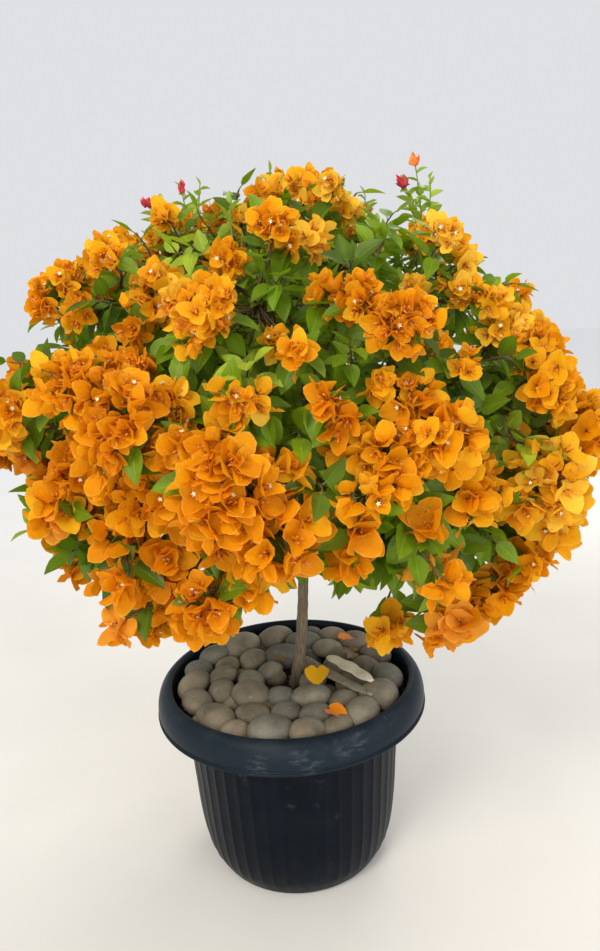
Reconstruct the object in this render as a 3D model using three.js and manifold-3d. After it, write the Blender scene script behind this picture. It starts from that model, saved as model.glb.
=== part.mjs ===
// A bougainvillea grown as a small tree in a round plastic pot topped with river pebbles.
// The pot stands on its flat underside, whose centre is the origin. Millimetres, +Z up,
// and -Y is the side that is looked at. Azimuth 0 points to -Y and 90 to +X.
import * as THREE from "three";
import { mergeVertices } from "three/addons/utils/BufferGeometryUtils.js";
import Module from "manifold-3d";

const wasm = await Module();
wasm.setup();

// Driving sizes
const CLEARANCE = 0.3; // between neighbours that rest on or meet each other
const SLIVER = 0.06; // detail finer than this is closed up
const POT = {
  height: 270,
  footRadius: 116,
  bellyRadius: 143,
  neckRadius: 150,
  neckHeight: 224,
  rimRadius: 190,
  rimHeight: 41,
  mouthRadius: 166,
  wall: 4,
  floor: 6,
  segments: 40,
};
const SOIL_TOP = 240;
const GRIT_DEPTH = 6;
const PEBBLE = {
  along: 48,
  across: 38.5,
  length: 24,
  width: 19.5,
  thickness: 15,
  sink: 5,
  sides: 7,
  bands: 3,
};
const TRUNK = {
  foot: [8, 8],
  tipHeight: 790,
  lean: [0.082, 0.02],
  bend: 5,
  footRadius: 13,
  stemRadius: 9,
  tipRadius: 3.4,
  flareHeight: 12,
  sides: 9,
  steps: 14,
};
const CROWN = {
  centre: [12, 20, 630],
  radius: 388,
  halfHeight: 312,
  shell: 0.8, // how far out the middle of a mass lies
};
const BOUGH = { rootRadius: 4.6, tipRadius: 2.4, sides: 5, steps: 4, entry: 0.62 };
const TWIG = { rootRadius: 2.2, neckRadius: 1.4, headRadius: 4, sides: 3 };
const BRACT = { length: 86, width: 66, thickness: 1.6, fold: 8 };
const LEAF = { length: 92, width: 56, thickness: 1.6, fold: 5 };
const SHRINKING = [1, 0.9, 0.8, 0.7, 0.6, 0.5, 0.4]; // tried in turn until a blade fits its mass
const MARGIN = 0.8; // from the face between two masses
const LIMB_ROOM = 5; // from a blade to a limb that is not its own

// The masses of foliage in tiers from the top down. Each place is an azimuth in degrees, some
// with the turn of the mass's heads: 0 sets the first one to the left, 90 below. Every other
// mass of a tier is lifted or lowered by its stagger. A tier without a reach takes the crown's.
const TIERS = [
  { name: "top", height: 858, stagger: 20, reach: 80, size: 88, leave: 772, drop: 30,
    places: [[39, 15], [-56, 45], 172] },
  { name: "upper", height: 794, stagger: 4, size: 100, leave: 735, drop: 91,
    places: [[-46, 15], [-5, 50], [23, 55], [50, 145], 108, 166, -122] },
  { name: "middle", height: 677, stagger: 20, size: 104, leave: 640, drop: 104, arch: 30, bough: true,
    places: [[-41, 14], [-15, -27], [23, -75], [62, -45], 106, 150, -164, -106] },
  { name: "lower", height: 562, stagger: 10, size: 100, leave: 536, drop: 91, arch: 54, bough: true,
    places: [[-34, -30], [-8, -128], [19, 125], [60, 135], 122, 178, -108] },
  { name: "hanging", height: 468, stagger: 18, reach: 256, size: 88, leave: 445, drop: 48, arch: 96,
    bough: true, places: [[-28, 10], [43, 5], 134, -146] },
];

const COLOURS = {
  plastic: { color: 0x262c33, roughness: 0.45, metalness: 0 },
  earth: { color: 0x3a2c20, roughness: 1, metalness: 0 },
  stone: { color: 0x7d7667, roughness: 0.8, metalness: 0 },
  bark: { color: 0x6f614c, roughness: 0.9, metalness: 0 },
  blossom: { color: 0xf08a12, roughness: 0.6, metalness: 0 },
};

const UP = new THREE.Vector3(0, 0, 1);
const vec = (x, y, z) => new THREE.Vector3(x, y, z);

// A repeatable number from 0 to 1 for each index.
function chance(index) {
  const s = Math.sin(index * 12.9898 + 78.233) * 43758.5453;
  return s - Math.floor(s);
}

function manifoldOf(geometry) {
  const bare = geometry.clone();
  bare.deleteAttribute("normal");
  bare.deleteAttribute("uv");
  const merged = mergeVertices(bare, 1e-4);
  return new wasm.Manifold(new wasm.Mesh({
    numProp: 3,
    vertProperties: merged.attributes.position.array,
    triVerts: new Uint32Array(merged.index.array),
  }));
}

function geometryOf(manifold) {
  const mesh = manifold.getMesh();
  const geometry = new THREE.BufferGeometry();
  geometry.setAttribute("position", new THREE.BufferAttribute(mesh.vertProperties, 3));
  geometry.setIndex(new THREE.BufferAttribute(mesh.triVerts, 1));
  return geometry;
}

// The one body left after fusing: scraps and sealed hollows are dropped, slivers closed up.
function largestBody(manifold) {
  const bodies = manifold.decompose().sort((a, b) => b.volume() - a.volume());
  return bodies[0].simplify(SLIVER);
}

const fuse = (solids) => solids.reduce((whole, next) => whole.add(next));

function meshOf(name, geometry, colours) {
  const mesh = new THREE.Mesh(geometry, new THREE.MeshStandardMaterial(colours));
  mesh.name = name;
  return mesh;
}

// A closed tapering limb through the points, with a ring of sides at each: square to the line,
// or level for a trunk that is cut flat at the ground.
function limbGeometry(points, radii, sides, level = false) {
  const positions = [];
  const faces = [];
  let across = vec(1, 0, 0);
  points.forEach((point, i) => {
    const before = points[Math.max(i - 1, 0)];
    const after = points[Math.min(i + 1, points.length - 1)];
    const along = level ? UP.clone() : after.clone().sub(before).normalize();
    if (i === 0 && Math.abs(along.x) > 0.8) across = vec(0, 1, 0);
    across = across.clone().addScaledVector(along, -across.dot(along)).normalize();
    const third = along.clone().cross(across);
    for (let k = 0; k < sides; k++) {
      const angle = (2 * Math.PI * k) / sides;
      const rim = point.clone()
        .addScaledVector(across, radii[i] * Math.cos(angle))
        .addScaledVector(third, radii[i] * Math.sin(angle));
      positions.push(rim.x, rim.y, rim.z);
    }
  });
  const last = (points.length - 1) * sides;
  for (let i = 0; i < points.length - 1; i++) {
    for (let k = 0; k < sides; k++) {
      const a = i * sides + k;
      const b = i * sides + ((k + 1) % sides);
      faces.push(a, b, b + sides, a, b + sides, a + sides);
    }
  }
  for (let k = 1; k < sides - 1; k++) {
    faces.push(0, k + 1, k);
    faces.push(last, last + k, last + k + 1);
  }
  const geometry = new THREE.BufferGeometry();
  geometry.setAttribute("position", new THREE.Float32BufferAttribute(positions, 3));
  geometry.setIndex(faces);
  return geometry;
}

// A leaf or bract: a lozenge folded along its midrib and thickest in the middle, with six faces.
function blade(root, direction, face, shape, shrink) {
  const side = direction.clone().cross(face).normalize();
  const up = side.clone().cross(direction).normalize();
  const length = shape.length * shrink;
  const middle = root.clone().addScaledVector(direction, length * 0.46);
  const edge = middle.clone().addScaledVector(up, shape.fold * shrink);
  return {
    root: root.clone(),
    right: edge.clone().addScaledVector(side, (shape.width * shrink) / 2),
    tip: root.clone().addScaledVector(direction, length),
    left: edge.clone().addScaledVector(side, (-shape.width * shrink) / 2),
    ridge: middle.clone().addScaledVector(up, shape.thickness),
  };
}

function bladeGeometry(corners) {
  const order = [corners.root, corners.right, corners.tip, corners.left, corners.ridge];
  const geometry = new THREE.BufferGeometry();
  geometry.setAttribute("position", new THREE.Float32BufferAttribute(order.flatMap((p) => p.toArray()), 3));
  geometry.setIndex([0, 1, 4, 1, 2, 4, 2, 3, 4, 3, 0, 4, 0, 2, 1, 0, 3, 2]);
  return geometry;
}

// The space inside the pot as radius and height, from the floor up to the mouth: the wall opens
// on a sloping shelf into the wider rim.
function insideLine() {
  const p = POT;
  const rimFoot = p.height - p.rimHeight;
  return [
    [p.footRadius, p.floor], [p.footRadius + 14, 32], [p.bellyRadius - p.wall, 95],
    [p.neckRadius - p.wall, rimFoot - 6], [p.neckRadius, rimFoot + p.wall],
    [p.mouthRadius - 3, rimFoot + p.wall + 5], [p.mouthRadius + 1, p.height - 6],
  ];
}

// The pot's outer face from the foot up to the mouth, then its inner face down to the floor.
function pot() {
  const p = POT;
  const rimFoot = p.height - p.rimHeight;
  const profile = [
    [0, 0], [p.footRadius, 0], [p.footRadius + 7, 5], [p.footRadius + 18, 32],
    [p.bellyRadius, 95], [p.neckRadius, p.neckHeight], [p.neckRadius + 3, rimFoot],
    [p.rimRadius, rimFoot], [p.rimRadius, rimFoot + 5], [p.rimRadius - 2, rimFoot + 7],
    [p.rimRadius - 4, p.height - 13], [p.rimRadius - 11, p.height - 3], [p.mouthRadius + 8, p.height],
    ...insideLine().reverse(), [0, p.floor],
  ];
  const outline = profile.map(([r, z]) => new THREE.Vector2(r, z));
  return meshOf("pot", new THREE.LatheGeometry(outline, POT.segments).rotateX(Math.PI / 2), COLOURS.plastic);
}

// Radius of the space inside the pot at a height.
function insideRadius(height) {
  const line = insideLine();
  const next = line.findIndex(([, z]) => z >= height);
  const [r0, z0] = line[next - 1];
  const [r1, z1] = line[next];
  return r0 + ((r1 - r0) * (height - z0)) / (z1 - z0);
}

// The soil fills the pot from the floor to just above the shelf, clear of the wall all the way.
function soil() {
  const room = 2 * CLEARANCE;
  const side = insideLine().slice(0, -1).map(([r, z]) => [r - room, z + CLEARANCE]);
  const profile = [[0, side[0][1]], ...side, [insideRadius(SOIL_TOP) - room, SOIL_TOP], [0, SOIL_TOP]];
  const outline = profile.map(([r, z]) => new THREE.Vector2(r, z));
  return meshOf("soil", new THREE.LatheGeometry(outline, POT.segments).rotateX(Math.PI / 2), COLOURS.earth);
}

// The trunk's middle line: it leans a little and sways once on its way up through the crown.
function trunkPoint(height) {
  const rise = height - SOIL_TOP;
  const sway = Math.sin((rise / (TRUNK.tipHeight - SOIL_TOP)) * Math.PI * 2);
  return vec(
    TRUNK.foot[0] + TRUNK.lean[0] * rise + TRUNK.bend * sway,
    TRUNK.foot[1] + TRUNK.lean[1] * rise - TRUNK.bend * sway * 0.6,
    height,
  );
}

function trunkRadius(height) {
  const rise = height - SOIL_TOP;
  const flare = (TRUNK.footRadius - TRUNK.stemRadius) * Math.exp(-rise / TRUNK.flareHeight);
  const share = rise / (TRUNK.tipHeight - SOIL_TOP);
  return flare + THREE.MathUtils.lerp(TRUNK.stemRadius, TRUNK.tipRadius, share ** 0.8);
}

function trunkLine() {
  const foot = SOIL_TOP + CLEARANCE;
  const heights = Array.from({ length: TRUNK.steps + 1 }, (_, i) => (
    THREE.MathUtils.lerp(foot, TRUNK.tipHeight, (i / TRUNK.steps) ** 1.5)
  ));
  return { points: heights.map(trunkPoint), radii: heights.map(trunkRadius) };
}

// The trunk, or the trunk made thicker all over to cut room for itself in its neighbours.
function trunkGeometry(extra = 0) {
  const { points, radii } = trunkLine();
  points[0].z -= extra;
  points[points.length - 1].z += extra;
  return limbGeometry(points, radii.map((radius) => radius + extra), TRUNK.sides, true);
}

// Pebbles in rings round the trunk, each turned and sized by chance, sunk in a layer of grit.
function pebbles() {
  const top = SOIL_TOP + GRIT_DEPTH;
  const bedRadius = insideRadius(SOIL_TOP) - 2 * CLEARANCE;
  const bed = new THREE.CylinderGeometry(bedRadius, bedRadius, GRIT_DEPTH - CLEARANCE, POT.segments);
  bed.rotateX(Math.PI / 2).translate(0, 0, (top + SOIL_TOP + CLEARANCE) / 2);
  const solids = [manifoldOf(bed)];
  const outer = bedRadius - 1.2 * PEBBLE.width;
  const rings = Math.floor(outer / PEBBLE.across) + 1;
  for (let ring = 0; ring < rings; ring++) {
    const radius = outer - ring * PEBBLE.across;
    const count = Math.floor((2 * Math.PI * radius) / PEBBLE.along);
    for (let k = 0; k < count; k++) {
      const seed = ring * 50 + k;
      const angle = ((k + 0.2 * (chance(seed) - 0.5) + ring * 0.4) / count) * 2 * Math.PI;
      const size = 0.9 + 0.2 * chance(seed + 400);
      const stone = new THREE.SphereGeometry(1, PEBBLE.sides, PEBBLE.bands);
      stone.rotateX(Math.PI / 2).scale(PEBBLE.length, PEBBLE.width, PEBBLE.thickness);
      stone.scale(size, size, size).rotateX(0.3 * (chance(seed + 800) - 0.5));
      stone.rotateZ(angle + Math.PI / 2 + (chance(seed + 1200) - 0.5) * 0.5);
      const lift = PEBBLE.thickness - PEBBLE.sink + 4 * chance(seed + 1600);
      stone.translate(radius * Math.cos(angle), radius * Math.sin(angle), top + lift);
      solids.push(manifoldOf(stone));
    }
  }
  const clear = fuse(solids).subtract(manifoldOf(trunkGeometry(CLEARANCE)));
  return meshOf("pebbles", geometryOf(largestBody(clear)), COLOURS.stone);
}

// How far from the crown's middle line the middle of a mass lies at a height.
function reachAt(height) {
  const rise = (height - CROWN.centre[2]) / (CROWN.halfHeight * CROWN.shell);
  return CROWN.radius * CROWN.shell * Math.sqrt(Math.max(1 - rise * rise, 0.04));
}

function heading(azimuth) {
  const angle = THREE.MathUtils.degToRad(azimuth);
  return vec(Math.sin(angle), -Math.cos(angle), 0);
}

// Every mass with its middle, the line its stem takes from the trunk and the way it faces.
function massPlan() {
  const middle = vec(...CROWN.centre);
  const plan = [];
  for (const tier of TIERS) {
    const count = tier.places.length;
    const stride = count % 3 ? 3 : 2; // neighbours leave the trunk at heights well apart
    tier.places.forEach((place, i) => {
      const seed = plan.length * 97;
      const [azimuth, turn = 360 * chance(seed)] = [place].flat();
      const height = tier.height + (i % 2 ? -1 : 1) * tier.stagger;
      const centre = heading(azimuth).multiplyScalar(tier.reach ?? reachAt(height));
      centre.add(vec(middle.x, middle.y, height));
      const root = trunkPoint(tier.leave - (tier.drop * ((i * stride) % count)) / count);
      const bend = root.clone().lerp(centre, 0.5).addScaledVector(UP, tier.arch ?? 0);
      const facing = centre.clone().sub(middle);
      facing.z *= 0.75;
      plan.push({
        name: `${tier.name}_${i + 1}`,
        seed,
        turn: THREE.MathUtils.degToRad(turn),
        size: tier.size,
        hasBough: Boolean(tier.bough),
        centre,
        line: new THREE.QuadraticBezierCurve3(root, bend, centre),
        facing: facing.normalize(),
      });
    });
  }
  return plan;
}

// Share of a mass's line that is bough rather than stem.
const entryShare = (mass) => (mass.hasBough ? 1 - (BOUGH.entry * mass.size) / mass.line.getLength() : 0);

function boughLine(mass) {
  const shares = Array.from({ length: BOUGH.steps + 1 }, (_, i) => i / BOUGH.steps);
  return {
    points: shares.map((share) => mass.line.getPointAt(entryShare(mass) * share)),
    radii: shares.map((share) => THREE.MathUtils.lerp(BOUGH.rootRadius, BOUGH.tipRadius, share)),
  };
}

// A bough, or the bough made thicker and longer to cut room for its tip.
function boughGeometry(mass, extra = 0) {
  const { points, radii } = boughLine(mass);
  const tip = points[points.length - 1];
  tip.addScaledVector(tip.clone().sub(points[points.length - 2]).normalize(), extra);
  return limbGeometry(points, radii.map((radius) => radius + extra), BOUGH.sides);
}

// The stem goes on along the same line from the bough's tip, or starts at the trunk.
function stemLine(mass) {
  const start = entryShare(mass);
  const steps = mass.hasBough ? 2 : 4;
  const shares = Array.from({ length: steps + 1 }, (_, i) => i / steps);
  const thick = mass.hasBough ? BOUGH.tipRadius : BOUGH.tipRadius + 1;
  return {
    points: shares.map((share) => mass.line.getPointAt(THREE.MathUtils.lerp(start, 1, share))),
    radii: shares.map((share) => THREE.MathUtils.lerp(thick, TWIG.rootRadius, share)),
  };
}

// Distance between a point and a limb's skin, less than zero inside.
function limbGap(point, limb) {
  let least = Infinity;
  for (let i = 1; i < limb.points.length; i++) {
    const near = new THREE.Line3(limb.points[i - 1], limb.points[i])
      .closestPointToPoint(point, true, vec(0, 0, 0));
    least = Math.min(least, near.distanceTo(point) - Math.max(limb.radii[i - 1], limb.radii[i]));
  }
  return least;
}

// True if a point is nearer to this mass than to any other, by size, and within the crown.
function inSpace(point, mass, plan) {
  const own = point.distanceToSquared(mass.centre) - mass.size ** 2;
  for (const other of plan) {
    if (other === mass) continue;
    const gap = point.distanceToSquared(other.centre) - other.size ** 2 - own;
    if (gap < 2 * MARGIN * other.centre.distanceTo(mass.centre)) return false;
  }
  const [x, y, z] = CROWN.centre;
  const reach = Math.hypot(point.x - x, point.y - y) / CROWN.radius;
  const rise = Math.max((point.z - z) / CROWN.halfHeight, 0);
  return Math.hypot(reach, rise) < 1;
}

const isClear = (points, limbs, room) => (
  points.every((point) => limbs.every((limb) => limbGap(point, limb) > room))
);

// Points spread over a blade, close enough together that no limb slips between them.
function bladeSamples({ root, right, tip, left }) {
  const samples = [right, left];
  for (let i = 0; i <= 6; i++) {
    const spine = root.clone().lerp(tip, i / 6);
    samples.push(spine, spine.clone().lerp(left, 0.5), spine.clone().lerp(right, 0.5));
  }
  return samples;
}

// A direction leaning from an axis by an angle, turned round it.
function leaning(axis, tilt, turn) {
  const side = Math.abs(axis.z) < 0.9 ? axis.clone().cross(UP).normalize() : vec(1, 0, 0);
  const other = axis.clone().cross(side).normalize();
  return axis.clone().multiplyScalar(Math.cos(tilt))
    .addScaledVector(side, Math.sin(tilt) * Math.cos(turn))
    .addScaledVector(other, Math.sin(tilt) * Math.sin(turn))
    .normalize();
}

const GOLDEN = Math.PI * (3 - Math.sqrt(5));
const HEADS = 2;
const WHORLS = [
  { count: 3, tilt: 0.62, back: 0, breadth: 0.66 },
  { count: 3, tilt: 1.36, back: 4, breadth: 1.25 },
];

// The twigs of a mass: each leaves the stem near its end and carries one head of bracts.
function massTwigs(mass, stem) {
  const twigs = [];
  const last = stem.points.length - 1;
  for (let h = 0; h < HEADS; h++) {
    const turn = mass.turn + (2 * Math.PI * h) / HEADS + 0.4 * (chance(mass.seed + h + 5) - 0.5);
    const away = leaning(mass.facing, 1.2, turn);
    const outward = leaning(mass.facing, 0.5, turn);
    const tip = mass.centre.clone().addScaledVector(away, mass.size * 0.56)
      .addScaledVector(mass.facing, mass.size * (0.05 + 0.3 * chance(mass.seed + h + 9)));
    const root = stem.points[last - 1].clone().lerp(stem.points[last], 0.5 + 0.42 * h);
    const elbow = tip.clone().addScaledVector(outward, -mass.size * 0.3);
    twigs.push({ points: [root, elbow, tip], outward });
  }
  return twigs;
}

function foliage(mass, plan, limbsOfOthers) {
  const stem = stemLine(mass);
  const solids = [manifoldOf(limbGeometry(stem.points, stem.radii, TWIG.sides))];
  const addBlade = (root, direction, face, shape) => {
    for (const shrink of SHRINKING) {
      const corners = blade(root, direction, face, shape, shrink);
      const fits = Object.values(corners).every((p) => inSpace(p, mass, plan));
      if (fits && isClear(bladeSamples(corners), limbsOfOthers, LIMB_ROOM)) {
        solids.push(manifoldOf(bladeGeometry(corners)));
        return;
      }
    }
  };
  const addLeaf = (from, to, share, seed) => {
    const axis = to.clone().sub(from).normalize();
    const direction = leaning(axis, 1.15 + 0.3 * chance(seed), seed * GOLDEN);
    addBlade(from.clone().lerp(to, share), direction, leaning(UP, 0.5, seed), LEAF);
  };
  const last = stem.points.length - 1;
  addLeaf(stem.points[last - 1], stem.points[last], 0.35, mass.seed + 11);
  for (const [t, twig] of massTwigs(mass, stem).entries()) {
    const [root, elbow, tip] = twig.points;
    const fits = twig.points.every((p) => inSpace(p, mass, plan));
    if (!fits || !isClear(twig.points, limbsOfOthers, LIMB_ROOM)) continue;
    solids.push(manifoldOf(limbGeometry(twig.points, [TWIG.rootRadius, TWIG.neckRadius, TWIG.headRadius],
      TWIG.sides)));
    addLeaf(root, elbow, 0.7, mass.seed + 23 + t);
    for (const [w, whorl] of WHORLS.entries()) {
      const base = tip.clone().addScaledVector(twig.outward, -1.5 - whorl.back);
      const shape = { ...BRACT, width: BRACT.width * whorl.breadth };
      for (let k = 0; k < whorl.count; k++) {
        const turn = mass.seed + t + w * 0.8 + (k / whorl.count) * 2 * Math.PI;
        addBlade(base, leaning(twig.outward, whorl.tilt, turn), twig.outward, shape);
      }
    }
  }
  const limb = mass.hasBough ? boughGeometry(mass, CLEARANCE) : trunkGeometry(CLEARANCE);
  const clear = largestBody(fuse(solids).subtract(manifoldOf(limb)));
  return meshOf(`foliage_${mass.name}`, geometryOf(clear), COLOURS.blossom);
}

function bough(mass) {
  const cut = manifoldOf(boughGeometry(mass)).subtract(manifoldOf(trunkGeometry(CLEARANCE)));
  return meshOf(`bough_${mass.name}`, geometryOf(largestBody(cut)), COLOURS.bark);
}

function bougainvillea() {
  const group = new THREE.Group();
  group.name = "potted_bougainvillea";
  group.add(pot(), soil(), pebbles());
  group.add(meshOf("trunk", trunkGeometry(), COLOURS.bark));
  const plan = massPlan();
  const withBough = plan.filter((mass) => mass.hasBough);
  for (const mass of withBough) group.add(bough(mass));
  for (const mass of plan) {
    const others = plan.filter((other) => other !== mass).map(stemLine);
    group.add(foliage(mass, plan, [trunkLine(), ...withBough.map(boughLine), ...others]));
  }
  return group;
}

export default bougainvillea();
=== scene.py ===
import math
import bpy
import numpy as np
from mathutils import Matrix


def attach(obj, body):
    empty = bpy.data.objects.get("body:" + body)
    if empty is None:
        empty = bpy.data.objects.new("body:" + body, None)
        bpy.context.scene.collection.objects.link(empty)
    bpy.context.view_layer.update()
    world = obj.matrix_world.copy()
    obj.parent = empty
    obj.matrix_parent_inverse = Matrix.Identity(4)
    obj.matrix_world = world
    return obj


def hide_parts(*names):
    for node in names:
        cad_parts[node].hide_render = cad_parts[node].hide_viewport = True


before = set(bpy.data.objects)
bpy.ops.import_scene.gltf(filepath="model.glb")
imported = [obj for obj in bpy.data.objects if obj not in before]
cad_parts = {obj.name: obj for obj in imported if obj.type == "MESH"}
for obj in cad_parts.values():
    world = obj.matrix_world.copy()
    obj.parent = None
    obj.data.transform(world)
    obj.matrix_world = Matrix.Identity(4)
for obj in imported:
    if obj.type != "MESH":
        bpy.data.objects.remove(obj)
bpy.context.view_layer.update()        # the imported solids, all at rest
scene = bpy.context.scene
print("frame loaded:", len(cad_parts), "nodes")

goldenAngle = math.pi * (3 - math.sqrt(5))
up = np.array((0.0, 0.0, 1.0))
dice = np.random.default_rng(41)  # every stray of a leaf or petal comes from here, the same each run


# small tools for numbers, places, colours, nodes and meshes; lengths are in millimetres

def unit(vectors):  # each vector over its own length
    vectors = np.asarray(vectors, float)
    return vectors / np.maximum(np.linalg.norm(vectors, axis=-1, keepdims=True), 1e-9)


def chance(index):  # what a large multiple of the index's sine leaves after its whole part, 0 to 1
    value = np.sin(np.asarray(index, float) * 12.9898 + 78.233) * 43758.5453
    return value - np.floor(value)


def spread(low, high, count=None):  # seeded numbers, even from low to high
    return dice.uniform(low, high, count)


def anyTurn(count):  # seeded turns or phases, of up to about a whole turn
    return spread(0, 6.3, count)


def strays(*count):  # seeded steps in any direction, by about 1 along each axis
    return dice.normal(size=(*count, 3))


def around(count):  # even angles round a whole turn
    return np.arange(count) / count * 2 * math.pi


def polar(reach, angle, height):
    return np.stack([reach * np.cos(angle), reach * np.sin(angle), np.broadcast_to(height, angle.shape)], -1)


def turned(shapes, angle):  # each shape turned about the upright
    c, s = np.cos(angle)[:, None], np.sin(angle)[:, None]
    return np.stack([shapes[..., 0] * c - shapes[..., 1] * s, shapes[..., 0] * s + shapes[..., 1] * c,
                     shapes[..., 2]], -1)


def flatRows(chosen, *fields):  # the chosen rows of every field, one below the other
    return [field[chosen].reshape(-1, *field.shape[2:]) for field in fields]


def standing(across, above, back, spot):  # where a camera or a lamp stands, its back away from what it sees
    placed = np.eye(4)
    placed[:3, :3] = np.stack([across, above, back], -1)
    placed[:3, 3] = spot
    return Matrix(placed.tolist())


def paint(red, green, blue):  # a screen colour of 0 to 255 as an amount of light, by the screen's curve
    shown = np.array((red, green, blue)) / 255
    light = np.where(shown <= 0.04045, shown / 12.92, ((shown + 0.055) / 1.055) ** 2.4)
    return (*[float(x) for x in light], 1.0)


def toned(colour, tone, lift=0):  # a colour times a tone, and lifted, no brighter than white
    return paint(*[min(255, tone * x + lift) for x in colour])


def shifted(colour, steps):  # a colour with a step added to its red, green and blue
    return paint(*np.clip(np.add(colour, steps), 0, 255))


def addNode(tree, kind, inputs=None, **settings):
    made = tree.nodes.new("ShaderNode" + kind)
    for key, value in settings.items():
        setattr(made, key, value)
    for key, value in (inputs or {}).items():
        if isinstance(value, bpy.types.NodeSocket):
            tree.links.new(value, made.inputs[key])
        else:
            made.inputs[key].default_value = value
    return made


def ramp(tree, factor, *stops):  # a run of colours over a factor of 0 to 1
    made = addNode(tree, "ValToRGB", {"Fac": factor})
    band = made.color_ramp.elements
    band[0].position, band[0].color = stops[0]
    band[1].position, band[1].color = stops[-1]
    for place, colour in stops[1:-1]:
        band.new(place).color = colour
    return made.outputs["Color"]


def shades(tree, factor, colour, *stops):  # a run of tones of one colour
    return ramp(tree, factor, *[(place, toned(colour, tone)) for place, tone in stops])


def blendColours(tree, factor, first, second):
    return addNode(tree, "Mix", {0: factor, 6: first, 7: second}, data_type="RGBA").outputs[2]


def sums(tree, way, first, second=0.0):  # one step of arithmetic on two values
    return addNode(tree, "Math", {0: first, 1: second}, operation=way).outputs[0]


def times(tree, first, second):
    return sums(tree, "MULTIPLY", first, second)


def stretch(tree, value, low, high, toLow=0.0, toHigh=1.0):  # low to high becomes toLow to toHigh
    return addNode(tree, "MapRange", {"Value": value, "From Min": low, "From Max": high,
                                      "To Min": toLow, "To Max": toHigh}).outputs["Result"]


def noise(tree, vector, scale, detail=3.0, rough=0.5):
    return addNode(tree, "TexNoise", {"Vector": vector, "Scale": scale, "Detail": detail,
                                      "Roughness": rough}).outputs["Fac"]


def scaled(tree, vector, x, y, z):
    return addNode(tree, "Mapping", {"Vector": vector, "Scale": (x, y, z)}).outputs["Vector"]


def newMaterial(name, roughness, specular):
    material = bpy.data.materials.new(name)
    material.use_nodes = True
    tree = material.node_tree
    shader = tree.nodes["Principled BSDF"]
    shader.inputs["Roughness"].default_value = roughness
    shader.inputs["Specular IOR Level"].default_value = specular
    return material, tree, shader, addNode(tree, "TexCoord").outputs["Object"]


def dress(tree, shader, colour, height, distance, strength):  # the colour, and a bump by the height
    tree.links.new(colour, shader.inputs["Base Color"])
    bump = addNode(tree, "Bump", {"Height": height, "Distance": distance, "Strength": strength})
    tree.links.new(bump.outputs["Normal"], shader.inputs["Normal"])


def letThrough(tree, shader, share, colour):  # a share of the light goes through, as through paper
    through = addNode(tree, "BsdfTranslucent", {"Color": colour})
    both = addNode(tree, "MixShader", {0: share, 1: shader.outputs[0], 2: through.outputs[0]})
    tree.links.new(both.outputs[0], tree.nodes["Material Output"].inputs["Surface"])


def bladeAxes(tree):  # how far a place lies across a blade, along it, and out from its mid line
    axes = addNode(tree, "SeparateXYZ", {"Vector": addNode(tree, "TexCoord").outputs["UV"]})
    across, along = axes.outputs["X"], axes.outputs["Y"]
    return across, along, sums(tree, "ABSOLUTE", times(tree, sums(tree, "SUBTRACT", across, 0.5), 2.0))


def plainMaterial(name, colour, roughness=0.6, scale=160, low=0.72):
    material, tree, shader, spot = newMaterial(name, roughness, 0.35)
    tones = shades(tree, noise(tree, spot, scale), colour, (0.3, low), (0.7, 1))
    dress(tree, shader, tones, noise(tree, spot, scale * 4, 2.0), 0.0005, 0.4)
    return material


def addPiece(name, parts, material, nodes=(), smooth=True):
    # joins parts of (points in millimetres, faces, corner places on the surface) in one mesh
    points, faces, corners, start = [], [], [], 0
    for partPoints, partFaces, partCorners in parts:
        flat = partPoints.reshape(-1, 3)
        points.append(flat)
        for face, corner in zip(partFaces, partCorners):
            faces.append(face + start)
            corners.append(corner.reshape(-1, 2))
        start += len(flat)
    points = np.concatenate(points) / 1000
    sizes = np.concatenate([np.full(len(face), face.shape[1]) for face in faces])
    corner = np.concatenate([face.ravel() for face in faces])
    mesh = bpy.data.meshes.new(name)
    mesh.vertices.add(len(points))
    mesh.vertices.foreach_set("co", points.ravel())
    mesh.loops.add(len(corner))
    mesh.loops.foreach_set("vertex_index", corner.astype(np.int32))
    mesh.polygons.add(len(sizes))
    mesh.polygons.foreach_set("loop_start", np.r_[0, np.cumsum(sizes)[:-1]].astype(np.int32))
    mesh.polygons.foreach_set("use_smooth", np.full(len(sizes), smooth))
    layer = mesh.uv_layers.new(name="surface")
    layer.data.foreach_set("uv", np.concatenate(corners).ravel().astype(np.float32))
    mesh.update(calc_edges=True)
    mesh.validate()
    mesh.materials.append(material)
    piece = bpy.data.objects.new(name, mesh)
    scene.collection.objects.link(piece)
    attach(piece, "root")
    if nodes:
        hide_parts(*nodes)
    print("  ", name, int((sizes - 2).sum()), "triangles")


def ringsAt(reach, height, count):  # rings of count points round the upright, one at each height
    turn = around(count)
    return np.stack([reach * np.cos(turn), reach * np.sin(turn), np.repeat(height[:, None], count, 1)], -1)


def closedSkin(below, skin, above):  # rings of points between one point below and one above
    return np.vstack([[(0, 0, below)], skin.reshape(-1, 3), [(0, 0, above)]])


def ringFaces(rows, columns, most):
    # the faces between rings of points, and their places round the skin and along it
    row, column = np.meshgrid(np.arange(rows - 1), np.arange(columns), indexing="ij")
    beside = (column + 1) % columns
    quads = np.stack([row * columns + column, row * columns + beside,
                      (row + 1) * columns + beside, (row + 1) * columns + column], -1)
    share, along = column / columns, row / most
    places = np.stack([np.stack([share, share + 1 / columns, share + 1 / columns, share], -1),
                       np.stack([along, along, along + 1 / most, along + 1 / most], -1)], -1)
    return quads.reshape(-1, 4), places.reshape(-1, 4, 2)


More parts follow.
